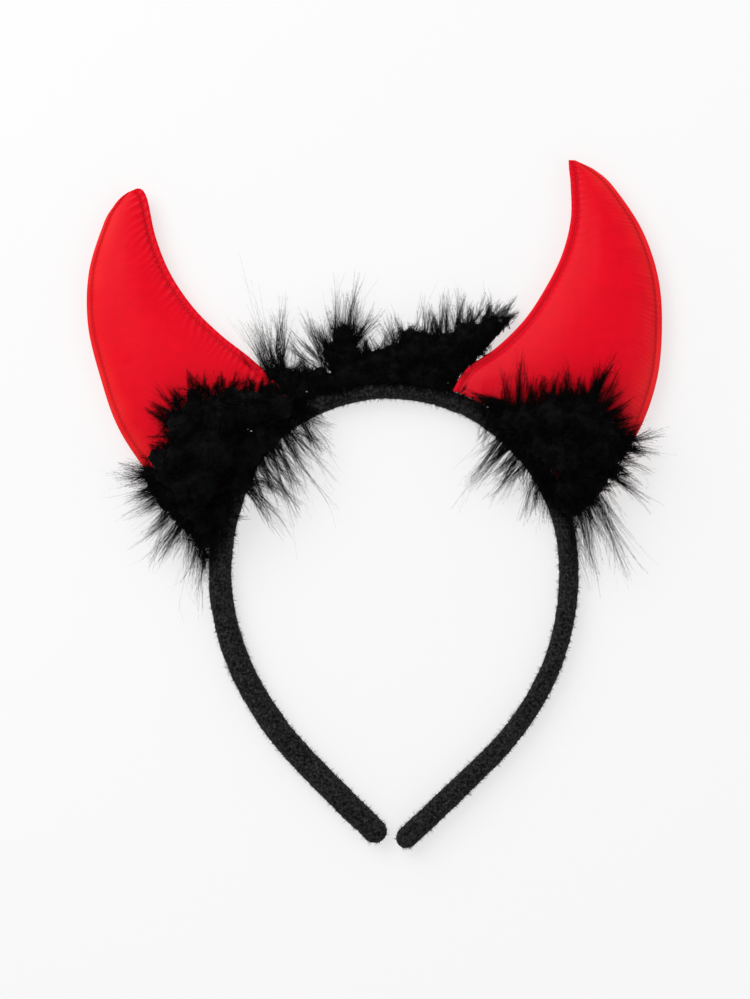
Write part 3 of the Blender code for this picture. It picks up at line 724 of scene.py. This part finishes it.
def make_stitching(horns, horn, lines, material):
    """A thread along each groove, one small bead of thread to a stitch."""
    sides, profile = 6, ((0.0, 0.25), (0.14, 0.85), (0.5, 1.0), (0.86, 0.85), (1.0, 0.25))
    points, faces = [], []
    for line in lines:
        up = math.copysign(1.0, line[len(line) // 2, 2] - horns.clearance - horns.padding / 2)
        length = along_curve(line)
        starts = np.arange(1.5 * MM, length[-1] - 2.2 * MM, horns.stitch_pitch)
        reach = 0.62 * horns.stitch_pitch
        for start in starts:
            shares, sizes = zip(*profile)
            where = start + reach * np.array(shares)
            centres = np.stack([np.interp(where, length, line[:, k]) for k in range(3)], axis=-1)
            run = unit(centres[-1] - centres[0])
            across = unit(np.cross(run, (0.0, 0.0, 1.0)))
            out = unit(np.cross(across, run))
            centres[:, 2] += up * horns.thread_width * (0.10 + 0.35 * np.sin(math.pi * np.array(shares)))
            turns = np.arange(sides) * 2 * math.pi / sides
            circle = np.cos(turns)[:, None] * across + np.sin(turns)[:, None] * out
            radii = np.array(sizes) * horns.thread_width / 2
            rings = centres[:, None] + circle[None] * radii[:, None, None]
            faces.append(grid_faces(len(profile), sides, len(points) * sides * len(profile)))
            points.append(rings.reshape(-1, 3))
    name = horn.name + "_stitching"
    return new_piece(name, np.vstack(points), [np.vstack(faces)], material)


# Marabou

def ground_map(names):
    """Height of the named solids under each point, as a function of x and y."""
    trees = []
    for name in names:
        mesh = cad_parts[name].data
        points = [vertex.co.copy() for vertex in mesh.vertices]
        trees.append(BVHTree.FromPolygons(points, [tuple(face.vertices) for face in mesh.polygons]))
    cell = 0.7 * MM
    low, high = CAD_BOX
    columns, rows = int((high.x - low.x) / cell) + 2, int((high.y - low.y) / cell) + 2
    heights = np.zeros((rows, columns))
    for row in range(rows):
        for column in range(columns):
            above = Vector((low.x + column * cell, low.y + row * cell, 0.1))
            for tree in trees:
                place = tree.ray_cast(above, Vector((0, 0, -1)))[0]
                if place is not None:
                    heights[row, column] = max(heights[row, column], place.z)

    def height_at(points):
        column = np.clip(((points[..., 0] - low.x) / cell).round().astype(int), 0, columns - 1)
        row = np.clip(((points[..., 1] - low.y) / cell).round().astype(int), 0, rows - 1)
        return heights[row, column] + 0.25 * MM

    return height_at


ROOTED = 0.5  # share of its free length that a tuft reaches back into the mass
ROOT_SCATTER = 1.5 * MM  # also how deep the nap is rooted
SPINE_STEPS = 20


def curves(first, bend, last, stations):
    """Points of many quadratic curves, as an array of curves by stations by three."""
    t = np.linspace(0, 1, stations)[:, None]
    first, bend, last = (a.reshape(-1, 1, 3) for a in (first, bend, last))
    return first * (1 - t) ** 2 + 2 * bend * t * (1 - t) + last * t**2


def tuft_barbs(rng, down, tufts, height_at):
    """Barbs of the tufts: several wisps to a tuft, each drawn together towards its tip, and
    the long stray hairs."""
    count, wisps, barbs = len(tufts), down.wisps, down.barbs
    table = np.array(tufts)
    edge = np.column_stack([table[:, 0:2] * MM, np.zeros(count)])
    tip = np.column_stack([table[:, 2:4] * MM, np.zeros(count)])
    root = edge + (edge - tip) * ROOTED
    length = np.linalg.norm(tip - root, axis=1)
    fan = table[:, 4] * 0.1 * length

    def scatter(size, *shape):
        return np.asarray(size)[..., None] * rng.normal(size=(*shape, 3))

    start = root[:, None] + scatter(ROOT_SCATTER, count, wisps)
    start[..., 2] = height_at(start) + rng.uniform(1.0, 6.0, (count, wisps)) * MM
    end = root[:, None] + (tip - root)[:, None] * rng.uniform(0.68, 1.12, (count, wisps, 1))
    end = end + scatter(fan[:, None] * 0.6, count, wisps)
    end[..., 2] = height_at(end) + rng.uniform(1.0, 9.0, (count, wisps)) * MM
    middle = (start + end) / 2 + scatter(0.13 * length[:, None], count, wisps)
    spines = curves(start, middle, end, SPINE_STEPS + 1).reshape(count, wisps, SPINE_STEPS + 1, 3)

    def on_spine(t):
        where = np.clip(t, 0, 1) * SPINE_STEPS
        station = np.minimum(where.astype(int), SPINE_STEPS - 1)
        step = (where - station)[..., None]
        tuft, wisp = np.arange(count)[:, None, None], np.arange(wisps)[None, :, None]
        return spines[tuft, wisp, station] * (1 - step) + spines[tuft, wisp, station + 1] * step

    begin = rng.uniform(0.0, 0.45, (count, wisps, barbs))
    finish = rng.uniform(0.66, 1.0, (count, wisps, barbs))
    first = on_spine(begin) + scatter(0.55 * MM, count, wisps, barbs)
    bend = on_spine((begin + finish) / 2) + scatter(0.75 * MM, count, wisps, barbs)
    last = on_spine(finish) + scatter(0.25 * MM + 0.035 * length[:, None, None], count, wisps, barbs)
    barb_paths = curves(first, bend, last, 6)

    strays = down.strays
    first = root[:, None] + scatter(ROOT_SCATTER, count, strays)
    first[..., 2] = height_at(first) + rng.uniform(1.0, 8.0, (count, strays)) * MM
    last = root[:, None] + (tip - root)[:, None] * rng.uniform(0.75, 1.25, (count, strays, 1))
    last = last + scatter(1.2 * fan[:, None], count, strays)
    last[..., 2] = height_at(last) + rng.uniform(1.0, 9.0, (count, strays)) * MM
    bend = (first + last) / 2 + scatter(0.2 * length[:, None], count, strays)
    return barb_paths, curves(first, bend, last, 7)


def matted_mass(clumps, raised, height_at, seed):
    """The clumps' middles melted into one lumpy closed mass: its points and quads."""
    rings, sides = 9, 14
    round_clump = ball(rings, sides, 0.02)
    points, faces = [], []
    for clump in clumps:
        middle = np.array((clump.x * MM, clump.y * MM, 0.0))
        middle[2] = height_at(middle) + 0.5 * clump.reach * MM + raised
        faces.append(grid_faces(rings, sides, len(points) * rings * sides)[:, ::-1])
        points.append((middle + round_clump * 0.68 * clump.reach * MM).reshape(-1, 3))
    mesh = bpy.data.meshes.new("clumps")
    mesh.from_pydata(np.vstack(points).tolist(), [], np.vstack(faces).tolist())
    lump = bpy.data.objects.new("clumps", mesh)
    bpy.context.scene.collection.objects.link(lump)
    melt = lump.modifiers.new("melt", "REMESH")
    melt.mode = "VOXEL"
    melt.voxel_size = 1.1 * MM
    even = lump.modifiers.new("even", "SMOOTH")
    even.factor = 0.6
    even.iterations = 5
    melted = lump.evaluated_get(bpy.context.evaluated_depsgraph_get()).to_mesh()
    points = np.empty(3 * len(melted.vertices), np.float32)
    melted.vertices.foreach_get("co", points)
    points = points.reshape(-1, 3).astype(float)
    normals = np.empty(3 * len(melted.vertices), np.float32)
    melted.vertex_normals.foreach_get("vector", normals)
    quads = np.array([tuple(face.vertices) for face in melted.polygons if len(face.vertices) == 4])
    bpy.data.objects.remove(lump)
    bpy.data.meshes.remove(mesh)
    lumps = roughness_of(points, 2.4 * MM, seed) + 0.6 * roughness_of(points, 1.2 * MM, seed + 1)
    return points + normals.reshape(-1, 3) * lumps[:, None] * 0.9 * MM, quads


def nap_barbs(rng, points, quads, down, nap):
    """Short wisps that stand all over the top and the sides of the matted mass."""
    corners = points[quads]
    normals = np.cross(corners[:, 2] - corners[:, 0], corners[:, 3] - corners[:, 1])
    areas = np.linalg.norm(normals, axis=1) / 2
    normals = unit(normals)
    weights = areas * np.clip(1.5 - normals[:, 2], 0.65, 1.2) * (normals[:, 2] > -0.3)
    wisps, barbs = down.nap_wisps, down.nap_barbs
    chosen = rng.choice(len(quads), wisps, p=weights / weights.sum())
    normal = normals[chosen]
    root = corners[chosen].mean(axis=1) - normal * ROOT_SCATTER
    direction = unit(normal + 0.55 * unit(rng.normal(size=(wisps, 3))))
    reach = nap * rng.uniform(0.45, 1.0, (wisps, 1))
    tip = root + direction * (reach + ROOT_SCATTER)
    tip[:, 2] -= 0.12 * reach[:, 0]
    bulge = (root + tip) / 2 + 0.16 * reach * rng.normal(size=(wisps, 3))

    def spread(middle, size):
        return middle[:, None] + size * rng.normal(size=(wisps, barbs, 3))

    first = spread(root, 1.1 * MM)
    bend = spread(bulge, 0.8 * MM)
    last = spread(tip, 0.6 * MM) + (root - tip)[:, None] * rng.uniform(0.0, 0.45, (wisps, barbs, 1))
    return curves(first, bend, last, 4)


def lie_on(rng, paths, height_at):
    """Lifts the paths clear of what lies under them."""
    ground = height_at(paths) + 0.5 * MM * rng.uniform(size=paths.shape[:2])
    paths[..., 2] = np.maximum(paths[..., 2], ground)
    return paths


def ribbon_points(rng, paths, root_width, tip_width):
    """Two points to a station, either side of each path."""
    run = unit(np.diff(paths, axis=1, append=2 * paths[:, -1:] - paths[:, -2:-1]))
    side = unit(np.cross(run, rng.normal(size=(len(paths), 1, 3))))
    widths = np.linspace(root_width, tip_width, paths.shape[1])[:, None]
    return np.stack([paths - side * widths / 2, paths + side * widths / 2], axis=2).reshape(-1, 3)


def barbule_points(rng, paths, per_barb, length, width):
    """Three corners to each barbule: fine triangles that fan forward off a barb."""
    count = len(paths)
    at = rng.uniform(0.04, 0.97, (count, per_barb))
    where = at * (paths.shape[1] - 1)
    station = where.astype(int)
    step = (where - station)[..., None]
    barb = np.arange(count)[:, None]
    before, after = paths[barb, station], paths[barb, station + 1]
    roots = before + (after - before) * step
    run = unit(after - before)
    sideways = unit(np.cross(run, rng.normal(size=run.shape)))
    direction = unit(run * rng.uniform(0.6, 2.0, at.shape)[..., None] + sideways)
    reach = length * rng.uniform(0.35, 1.0, at.shape) * (1.0 - 0.5 * at)
    tips = roots + direction * reach[..., None]
    half = run * width / 2
    return np.stack([roots - half, roots + half, tips], axis=2).reshape(-1, 3)


def down_piece(name, node, rng, parts, body, material):
    """One piece of down from a closed body, if any, and sets of barbs with their barbules."""
    points, faces = [], []
    if body:
        points.append(body[0])
        faces.append(body[1])
    start = sum(len(part) for part in points)
    for paths, root_width, tip_width, per_barb, barbule in parts:
        ribbons = ribbon_points(rng, paths, root_width, tip_width)
        hairs = barbule_points(rng, paths, per_barb, *barbule)
        faces.append(strip_faces(len(paths), paths.shape[1], start))
        start += len(ribbons)
        faces.append(np.arange(len(hairs)).reshape(-1, 3) + start)
        start += len(hairs)
        points += [ribbons, hairs]
    points = np.vstack(points)
    points[:, 2] = np.maximum(points[:, 2], 0.1 * MM)
    return new_piece(name, points, faces, material, [node])


def make_down(name, node, clumps, tufts, nap, raised, down, height_at, seed, material):
    """The matted mass with its nap, and the tufts with their stray hairs."""
    rng = np.random.default_rng(seed)
    barbule = (down.barbule, down.barbule_width)
    mass, quads = matted_mass(clumps, raised, height_at, seed)
    mass = lie_on(rng, mass[None], height_at)[0]
    nap_paths = lie_on(rng, nap_barbs(rng, mass, quads, down, nap * down.nap), height_at)
    nap_set = (nap_paths, down.nap_barb, 0.2 * down.nap_barb, down.nap_barbules, barbule)
    down_piece(name + "_down", node, rng, [nap_set], (mass, quads), material)
    tuft_paths, stray_paths = tuft_barbs(rng, down, tufts, height_at)
    tuft_paths, stray_paths = lie_on(rng, tuft_paths, height_at), lie_on(rng, stray_paths, height_at)
    tuft_set = (tuft_paths, down.barb, 0.2 * down.barb, down.barbules, barbule)
    stray_set = (stray_paths, 0.45 * down.barb, 0.15 * down.barb, 0, barbule)
    down_piece(name + "_tufts", node, rng, [tuft_set, stray_set], None, material)


def make_glue(material):
    """Lumpy crumbs of glue, each laid on whatever is uppermost at its place."""
    rings, sides = 7, 10
    flat_ball = (ball(rings, sides, 0.05) * (1.0, 0.6, 0.45)).reshape(-1, 3)
    depsgraph = bpy.context.evaluated_depsgraph_get()
    points, faces = [], []
    for index, crumb in enumerate(CRUMBS):
        above = Vector((crumb.x * MM, crumb.y * MM, 0.1))
        hit, place = bpy.context.scene.ray_cast(depsgraph, above, Vector((0, 0, -1)))[:2]
        if not hit:
            raise RuntimeError("make the band, the horns and the down first: the glue lies on them")
        lumps = 1 + 0.5 * roughness_of(flat_ball, 0.6, index)[:, None]
        faces.append(grid_faces(rings, sides, len(points) * rings * sides)[:, ::-1])
        points.append(np.array(place) + flat_ball * lumps * crumb.size * MM / 2)
    return new_piece("glue_crumbs", np.vstack(points), [np.vstack(faces)], material)


# Materials

def new_material(name):
    """A material, its node tree and its shader."""
    material = bpy.data.materials.new(name)
    material.use_nodes = True
    tree = material.node_tree
    return material, tree, tree.nodes["Principled BSDF"]


def add_node(tree, kind, inputs=(), **settings):
    """A node with its settings, and constant values on its own inputs."""
    node = tree.nodes.new(kind)
    for name, value in settings.items():
        setattr(node, name, value)
    for name, value in dict(inputs).items():
        node.inputs[name].default_value = value
    return node


def link_bump(tree, shader, height, strength, distance):
    """Relief of the surface from a height."""
    bump = add_node(tree, "ShaderNodeBump", {"Strength": strength, "Distance": distance})
    tree.links.new(height, bump.inputs["Height"])
    tree.links.new(bump.outputs["Normal"], shader.inputs["Normal"])


def fibre_group():
    """Uneven colour and relief of matted fibres, for felt and for down."""
    group = bpy.data.node_groups.new("Matted fibres", "ShaderNodeTree")
    for name, kind, default in (("Colour", "NodeSocketColor", (0.01, 0.01, 0.01, 1.0)),
                                ("Pale fibres", "NodeSocketColor", (0.1, 0.1, 0.1, 1.0)),
                                ("Size", "NodeSocketFloat", 1000.0),
                                ("Share of pale", "NodeSocketFloat", 0.3)):
        socket = group.interface.new_socket(name, in_out="INPUT", socket_type=kind)
        socket.default_value = default
    group.interface.new_socket("Colour", in_out="OUTPUT", socket_type="NodeSocketColor")
    group.interface.new_socket("Height", in_out="OUTPUT", socket_type="NodeSocketFloat")
    links = group.links
    entry, exit_node = add_node(group, "NodeGroupInput"), add_node(group, "NodeGroupOutput")
    place = add_node(group, "ShaderNodeTexCoord")
    fine = add_node(group, "ShaderNodeTexNoise", {"Detail": 5.0, "Roughness": 0.7})
    specks = add_node(group, "ShaderNodeTexVoronoi", feature="F1")
    near = add_node(group, "ShaderNodeMapRange", {"From Min": 0.30, "From Max": 0.05})
    rare = add_node(group, "ShaderNodeMath", operation="LESS_THAN")
    pick = add_node(group, "ShaderNodeSeparateColor")
    both = add_node(group, "ShaderNodeMath", operation="MULTIPLY")
    tint = add_node(group, "ShaderNodeMapRange", {"From Min": 0.42, "From Max": 0.70, "To Max": 0.60})
    shade = add_node(group, "ShaderNodeMix", data_type="RGBA")
    speckle = add_node(group, "ShaderNodeMix", data_type="RGBA")
    links.new(place.outputs["Object"], fine.inputs["Vector"])
    links.new(place.outputs["Object"], specks.inputs["Vector"])
    links.new(entry.outputs["Size"], fine.inputs["Scale"])
    links.new(entry.outputs["Size"], specks.inputs["Scale"])
    links.new(specks.outputs["Distance"], near.inputs["Value"])
    links.new(specks.outputs["Color"], pick.inputs["Color"])
    links.new(pick.outputs["Red"], rare.inputs[0])
    links.new(entry.outputs["Share of pale"], rare.inputs[1])
    links.new(near.outputs["Result"], both.inputs[0])
    links.new(rare.outputs["Value"], both.inputs[1])
    links.new(fine.outputs["Fac"], tint.inputs["Value"])
    links.new(tint.outputs["Result"], shade.inputs["Factor"])
    links.new(entry.outputs["Colour"], shade.inputs["A"])
    links.new(entry.outputs["Pale fibres"], shade.inputs["B"])
    links.new(both.outputs["Value"], speckle.inputs["Factor"])
    links.new(shade.outputs["Result"], speckle.inputs["A"])
    links.new(entry.outputs["Pale fibres"], speckle.inputs["B"])
    links.new(speckle.outputs["Result"], exit_node.inputs["Colour"])
    links.new(fine.outputs["Fac"], exit_node.inputs["Height"])
    return group


def fibre_material(name, group, colour, pale, size, share, relief, roughness, sheen, gloss):
    """Felt or down: size and share are of its pale fibres, relief is the strength of its bumps."""
    material, tree, shader = new_material(name)
    inputs = {"Colour": (*colour, 1.0), "Pale fibres": (*pale, 1.0), "Size": size, "Share of pale": share}
    fibres = add_node(tree, "ShaderNodeGroup", inputs, node_tree=group)
    tree.links.new(fibres.outputs["Colour"], shader.inputs["Base Color"])
    link_bump(tree, shader, fibres.outputs["Height"], relief, 0.4 * MM)
    shader.inputs["Roughness"].default_value = roughness
    shader.inputs["Specular IOR Level"].default_value = gloss
    shader.inputs["Sheen Weight"].default_value = sheen
    shader.inputs["Sheen Roughness"].default_value = 0.5
    return material


def satin_material(colour):
    """Red satin over its own mottled colour, with painted light: a painted highlight along the outer edges
    and on the pucker ridges, and painted shade in the pucker hollows, in the stitched groove and towards
    the seat.
    """
    material, tree, shader = new_material("red_satin")
    links = tree.links
    place = add_node(tree, "ShaderNodeTexCoord")
    mottle = add_node(tree, "ShaderNodeTexNoise", {"Scale": 260.0, "Detail": 4.0})
    weave = add_node(tree, "ShaderNodeTexNoise", {"Scale": 1500.0, "Detail": 2.0})
    links.new(place.outputs["Object"], mottle.inputs["Vector"])
    links.new(place.outputs["Object"], weave.inputs["Vector"])
    dull, bright = (*(c * 0.90 for c in colour), 1.0), (*(min(1.0, c * 1.10) for c in colour), 1.0)
    shade = add_node(tree, "ShaderNodeMix", {"A": dull, "B": bright}, data_type="RGBA")
    links.new(mottle.outputs["Fac"], shade.inputs["Factor"])
    for name, tint, strength in (
        # Painted highlight along the outer edges
        ("margin", (1.0, 0.050, 0.036, 1.0), 0.65),
        # Painted highlight on the pucker ridges, painted shade in their hollows
        ("painted_pucker_highlight", (1.0, 0.035, 0.045, 1.0), 0.45),
        ("painted_pucker_shade", (0.52, 0.0, 0.012, 1.0), 0.60),
        # Painted shade along the stitched groove
        ("painted_groove_shade", (0.60, 0.0, 0.010, 1.0), 0.45),
        ("base_shade", (0.56, 0.0, 0.016, 1.0), 0.28),
    ):
        mask = add_node(tree, "ShaderNodeAttribute", attribute_name=name)
        scaled = add_node(tree, "ShaderNodeMath", {1: strength}, operation="MULTIPLY")
        mixed = add_node(tree, "ShaderNodeMix", {"B": tint}, data_type="RGBA")
        links.new(mask.outputs["Fac"], scaled.inputs[0])
        links.new(scaled.outputs["Value"], mixed.inputs["Factor"])
        links.new(shade.outputs["Result"], mixed.inputs["A"])
        shade = mixed
    links.new(shade.outputs["Result"], shader.inputs["Base Color"])
    link_bump(tree, shader, weave.outputs["Fac"], 0.25, 0.1 * MM)
    shader.inputs["Roughness"].default_value = 0.42
    shader.inputs["Specular IOR Level"].default_value = 0.09
    return material


def thread_material(colour):
    """Dull red sewing thread with a twist."""
    material, tree, shader = new_material("red_thread")
    place = add_node(tree, "ShaderNodeTexCoord")
    twist = add_node(tree, "ShaderNodeTexNoise", {"Scale": 4000.0})
    tree.links.new(place.outputs["Object"], twist.inputs["Vector"])
    link_bump(tree, shader, twist.outputs["Fac"], 0.4, 0.05 * MM)
    shader.inputs["Base Color"].default_value = (*colour, 1.0)
    shader.inputs["Roughness"].default_value = 0.55
    return material


def glue_material():
    """Dried glue: cloudy, pale and a little glossy."""
    material, tree, shader = new_material("dried_glue")
    place = add_node(tree, "ShaderNodeTexCoord")
    cloud = add_node(tree, "ShaderNodeTexNoise", {"Scale": 2500.0})
    tints = {"A": (0.08, 0.075, 0.07, 1.0), "B": (0.62, 0.60, 0.57, 1.0)}
    tint = add_node(tree, "ShaderNodeMix", tints, data_type="RGBA")
    tree.links.new(place.outputs["Object"], cloud.inputs["Vector"])
    tree.links.new(cloud.outputs["Fac"], tint.inputs["Factor"])
    tree.links.new(tint.outputs["Result"], shader.inputs["Base Color"])
    shader.inputs["Roughness"].default_value = 0.3
    return material


# Operators

FLOOR_SHARE = 0.36  # share of the floor's colour that takes the light
FLOOR_GLOW = 0.68  # strength of the rest, so that the floor stays white as in a soft box
FILL_SHARE = 0.15  # power of the fill light as a share of the key light's
VIEW_CENTRE = (-0.27 * MM, 1.77 * MM, 6.0 * MM)


class HEADBAND_OT_band(bpy.types.Operator):
    """Covers the hoop in fuzzy black felt"""

    bl_idname = "headband.band"
    bl_label = "Make the felt band"

    def execute(self, context):
        settings = context.scene.headband
        band = settings.band
        hoop = make_hoop(band)
        group = fibre_group()
        felt = fibre_material("black_felt", group, band.felt, band.speck, size=1000.0, share=0.30,
                              relief=1.0, roughness=0.95, sheen=0.05, gloss=0.03)
        fuzz = fibre_material("felt_fuzz", group, band.felt, band.speck, size=700.0, share=0.15,
                              relief=0.0, roughness=0.9, sheen=0.05, gloss=0.04)
        make_felt_band(hoop, band, felt)
        make_felt_fuzz(hoop, band, fuzz)
        return {"FINISHED"}


class HEADBAND_OT_horns(bpy.types.Operator):
    """Makes the two stuffed satin horns and their topstitching"""

    bl_idname = "headband.horns"
    bl_label = "Make the horns"

    def execute(self, context):
        settings = context.scene.headband
        hoop = make_hoop(settings.band)
        satin = satin_material(settings.horns.satin)
        thread = thread_material(settings.horns.thread)
        for horn in HORNS:
            lines = make_horn(hoop, settings.horns, horn, satin)
            make_stitching(settings.horns, horn, lines, thread)
        return {"FINISHED"}


class HEADBAND_OT_marabou(bpy.types.Operator):
    """Grows the marabou down over the crown and in front of both horn roots"""

    bl_idname = "headband.marabou"
    bl_label = "Grow the marabou"

    def execute(self, context):
        settings = context.scene.headband
        down = settings.down
        group = bpy.data.node_groups.get("Matted fibres")
        if group is None:
            raise RuntimeError("make the band first: the down shares its fibre shading")
        material = fibre_material("black_down", group, down.colour, (0.006, 0.006, 0.0065), size=900.0,
                                  share=0.0, relief=0.0, roughness=0.6, sheen=0.01, gloss=0.03)
        over_all = ground_map(("band", "horn_left", "horn_right"))
        over_band = ground_map(("band",))
        for name, node, clumps, tufts, nap, raised, height_at, seed in (
            ("left", "marabou_left", LEFT_CLUMPS, LEFT_TUFTS, 1.0, 2.5 * MM, over_all, 41),
            ("crown", "marabou_crown", CROWN_CLUMPS, CROWN_TUFTS, 0.60, 3.0 * MM, over_band, 42),
            ("right", "marabou_right", RIGHT_CLUMPS, RIGHT_TUFTS, 1.0, 2.5 * MM, over_all, 43),
        ):
            make_down(name, node, clumps, tufts, nap, raised, down, height_at, seed, material)
        make_glue(glue_material())
        return {"FINISHED"}


class HEADBAND_OT_stage(bpy.types.Operator):
    """Sets the floor, the soft light and the camera"""

    bl_idname = "headband.stage"
    bl_label = "Set the stage"

    def execute(self, context):
        scene = context.scene
        stage = scene.headband.stage
        floor_material, _, shader = new_material("pale_floor")
        shader.inputs["Base Color"].default_value = (*(c * FLOOR_SHARE for c in stage.floor), 1.0)
        shader.inputs["Roughness"].default_value = 0.9
        shader.inputs["Specular IOR Level"].default_value = 0.0
        shader.inputs["Emission Color"].default_value = (*stage.floor, 1.0)
        shader.inputs["Emission Strength"].default_value = FLOOR_GLOW
        bpy.ops.mesh.primitive_plane_add(size=8.0, location=(0.0, 0.0, -0.05 * MM))
        floor = context.object
        floor.name = "floor"
        floor.data.materials.append(floor_material)

        world = bpy.data.worlds.new("soft_studio")
        scene.world = world
        world.use_nodes = True
        background = world.node_tree.nodes["Background"]
        background.inputs["Color"].default_value = (1.0, 1.0, 1.0, 1.0)
        background.inputs["Strength"].default_value = stage.sky

        for name, place, size, power in (
            ("key", (-0.55, 0.60, 0.85), 0.9, stage.key),
            ("fill", (0.70, -0.30, 0.80), 0.9, FILL_SHARE * stage.key),
        ):
            light = bpy.data.lights.new(name, "AREA")
            light.shape = "SQUARE"
            light.size = size
            light.energy = power
            lamp = bpy.data.objects.new(name, light)
            lamp.location = place
            lamp.rotation_euler = (-Vector(place)).to_track_quat("-Z", "Y").to_euler()
            scene.collection.objects.link(lamp)

        camera = bpy.data.cameras.new("camera")
        camera.lens = stage.lens
        camera.clip_start = 0.01
        view = bpy.data.objects.new("camera", camera)
        distance = stage.lens / camera.sensor_width * stage.frame_height
        view.location = Vector(VIEW_CENTRE) + Vector((0.0, 0.0, distance))
        scene.collection.objects.link(view)
        scene.camera = view
        scene.view_settings.view_transform = "Standard"
        return {"FINISHED"}


class HEADBAND_PT_panel(bpy.types.Panel):
    """The headband's steps and sizes"""

    bl_idname = "HEADBAND_PT_panel"
    bl_label = "Devil horns headband"
    bl_space_type = "VIEW_3D"
    bl_region_type = "UI"
    bl_category = "Headband"

    def draw(self, context):
        settings = context.scene.headband
        for operator, group in (
            ("headband.band", settings.band),
            ("headband.horns", settings.horns),
            ("headband.marabou", settings.down),
            ("headband.stage", settings.stage),
        ):
            box = self.layout.box()
            box.operator(operator)
            for name in group.bl_rna.properties.keys():
                if name not in ("rna_type", "name"):
                    box.prop(group, name)


CLASSES = (
    BandSettings,
    HornSettings,
    DownSettings,
    StageSettings,
    HeadbandSettings,
    HEADBAND_OT_band,
    HEADBAND_OT_horns,
    HEADBAND_OT_marabou,
    HEADBAND_OT_stage,
    HEADBAND_PT_panel,
)


def register():
    for cls in CLASSES:
        bpy.utils.register_class(cls)
    bpy.types.Scene.headband = PointerProperty(type=HeadbandSettings)


def unregister():
    del bpy.types.Scene.headband
    for cls in reversed(CLASSES):
        bpy.utils.unregister_class(cls)


def main():
    register()
    bpy.ops.headband.band()
    bpy.ops.headband.horns()
    bpy.ops.headband.marabou()
    bpy.ops.headband.stage()


if __name__ == "__main__":
    main()
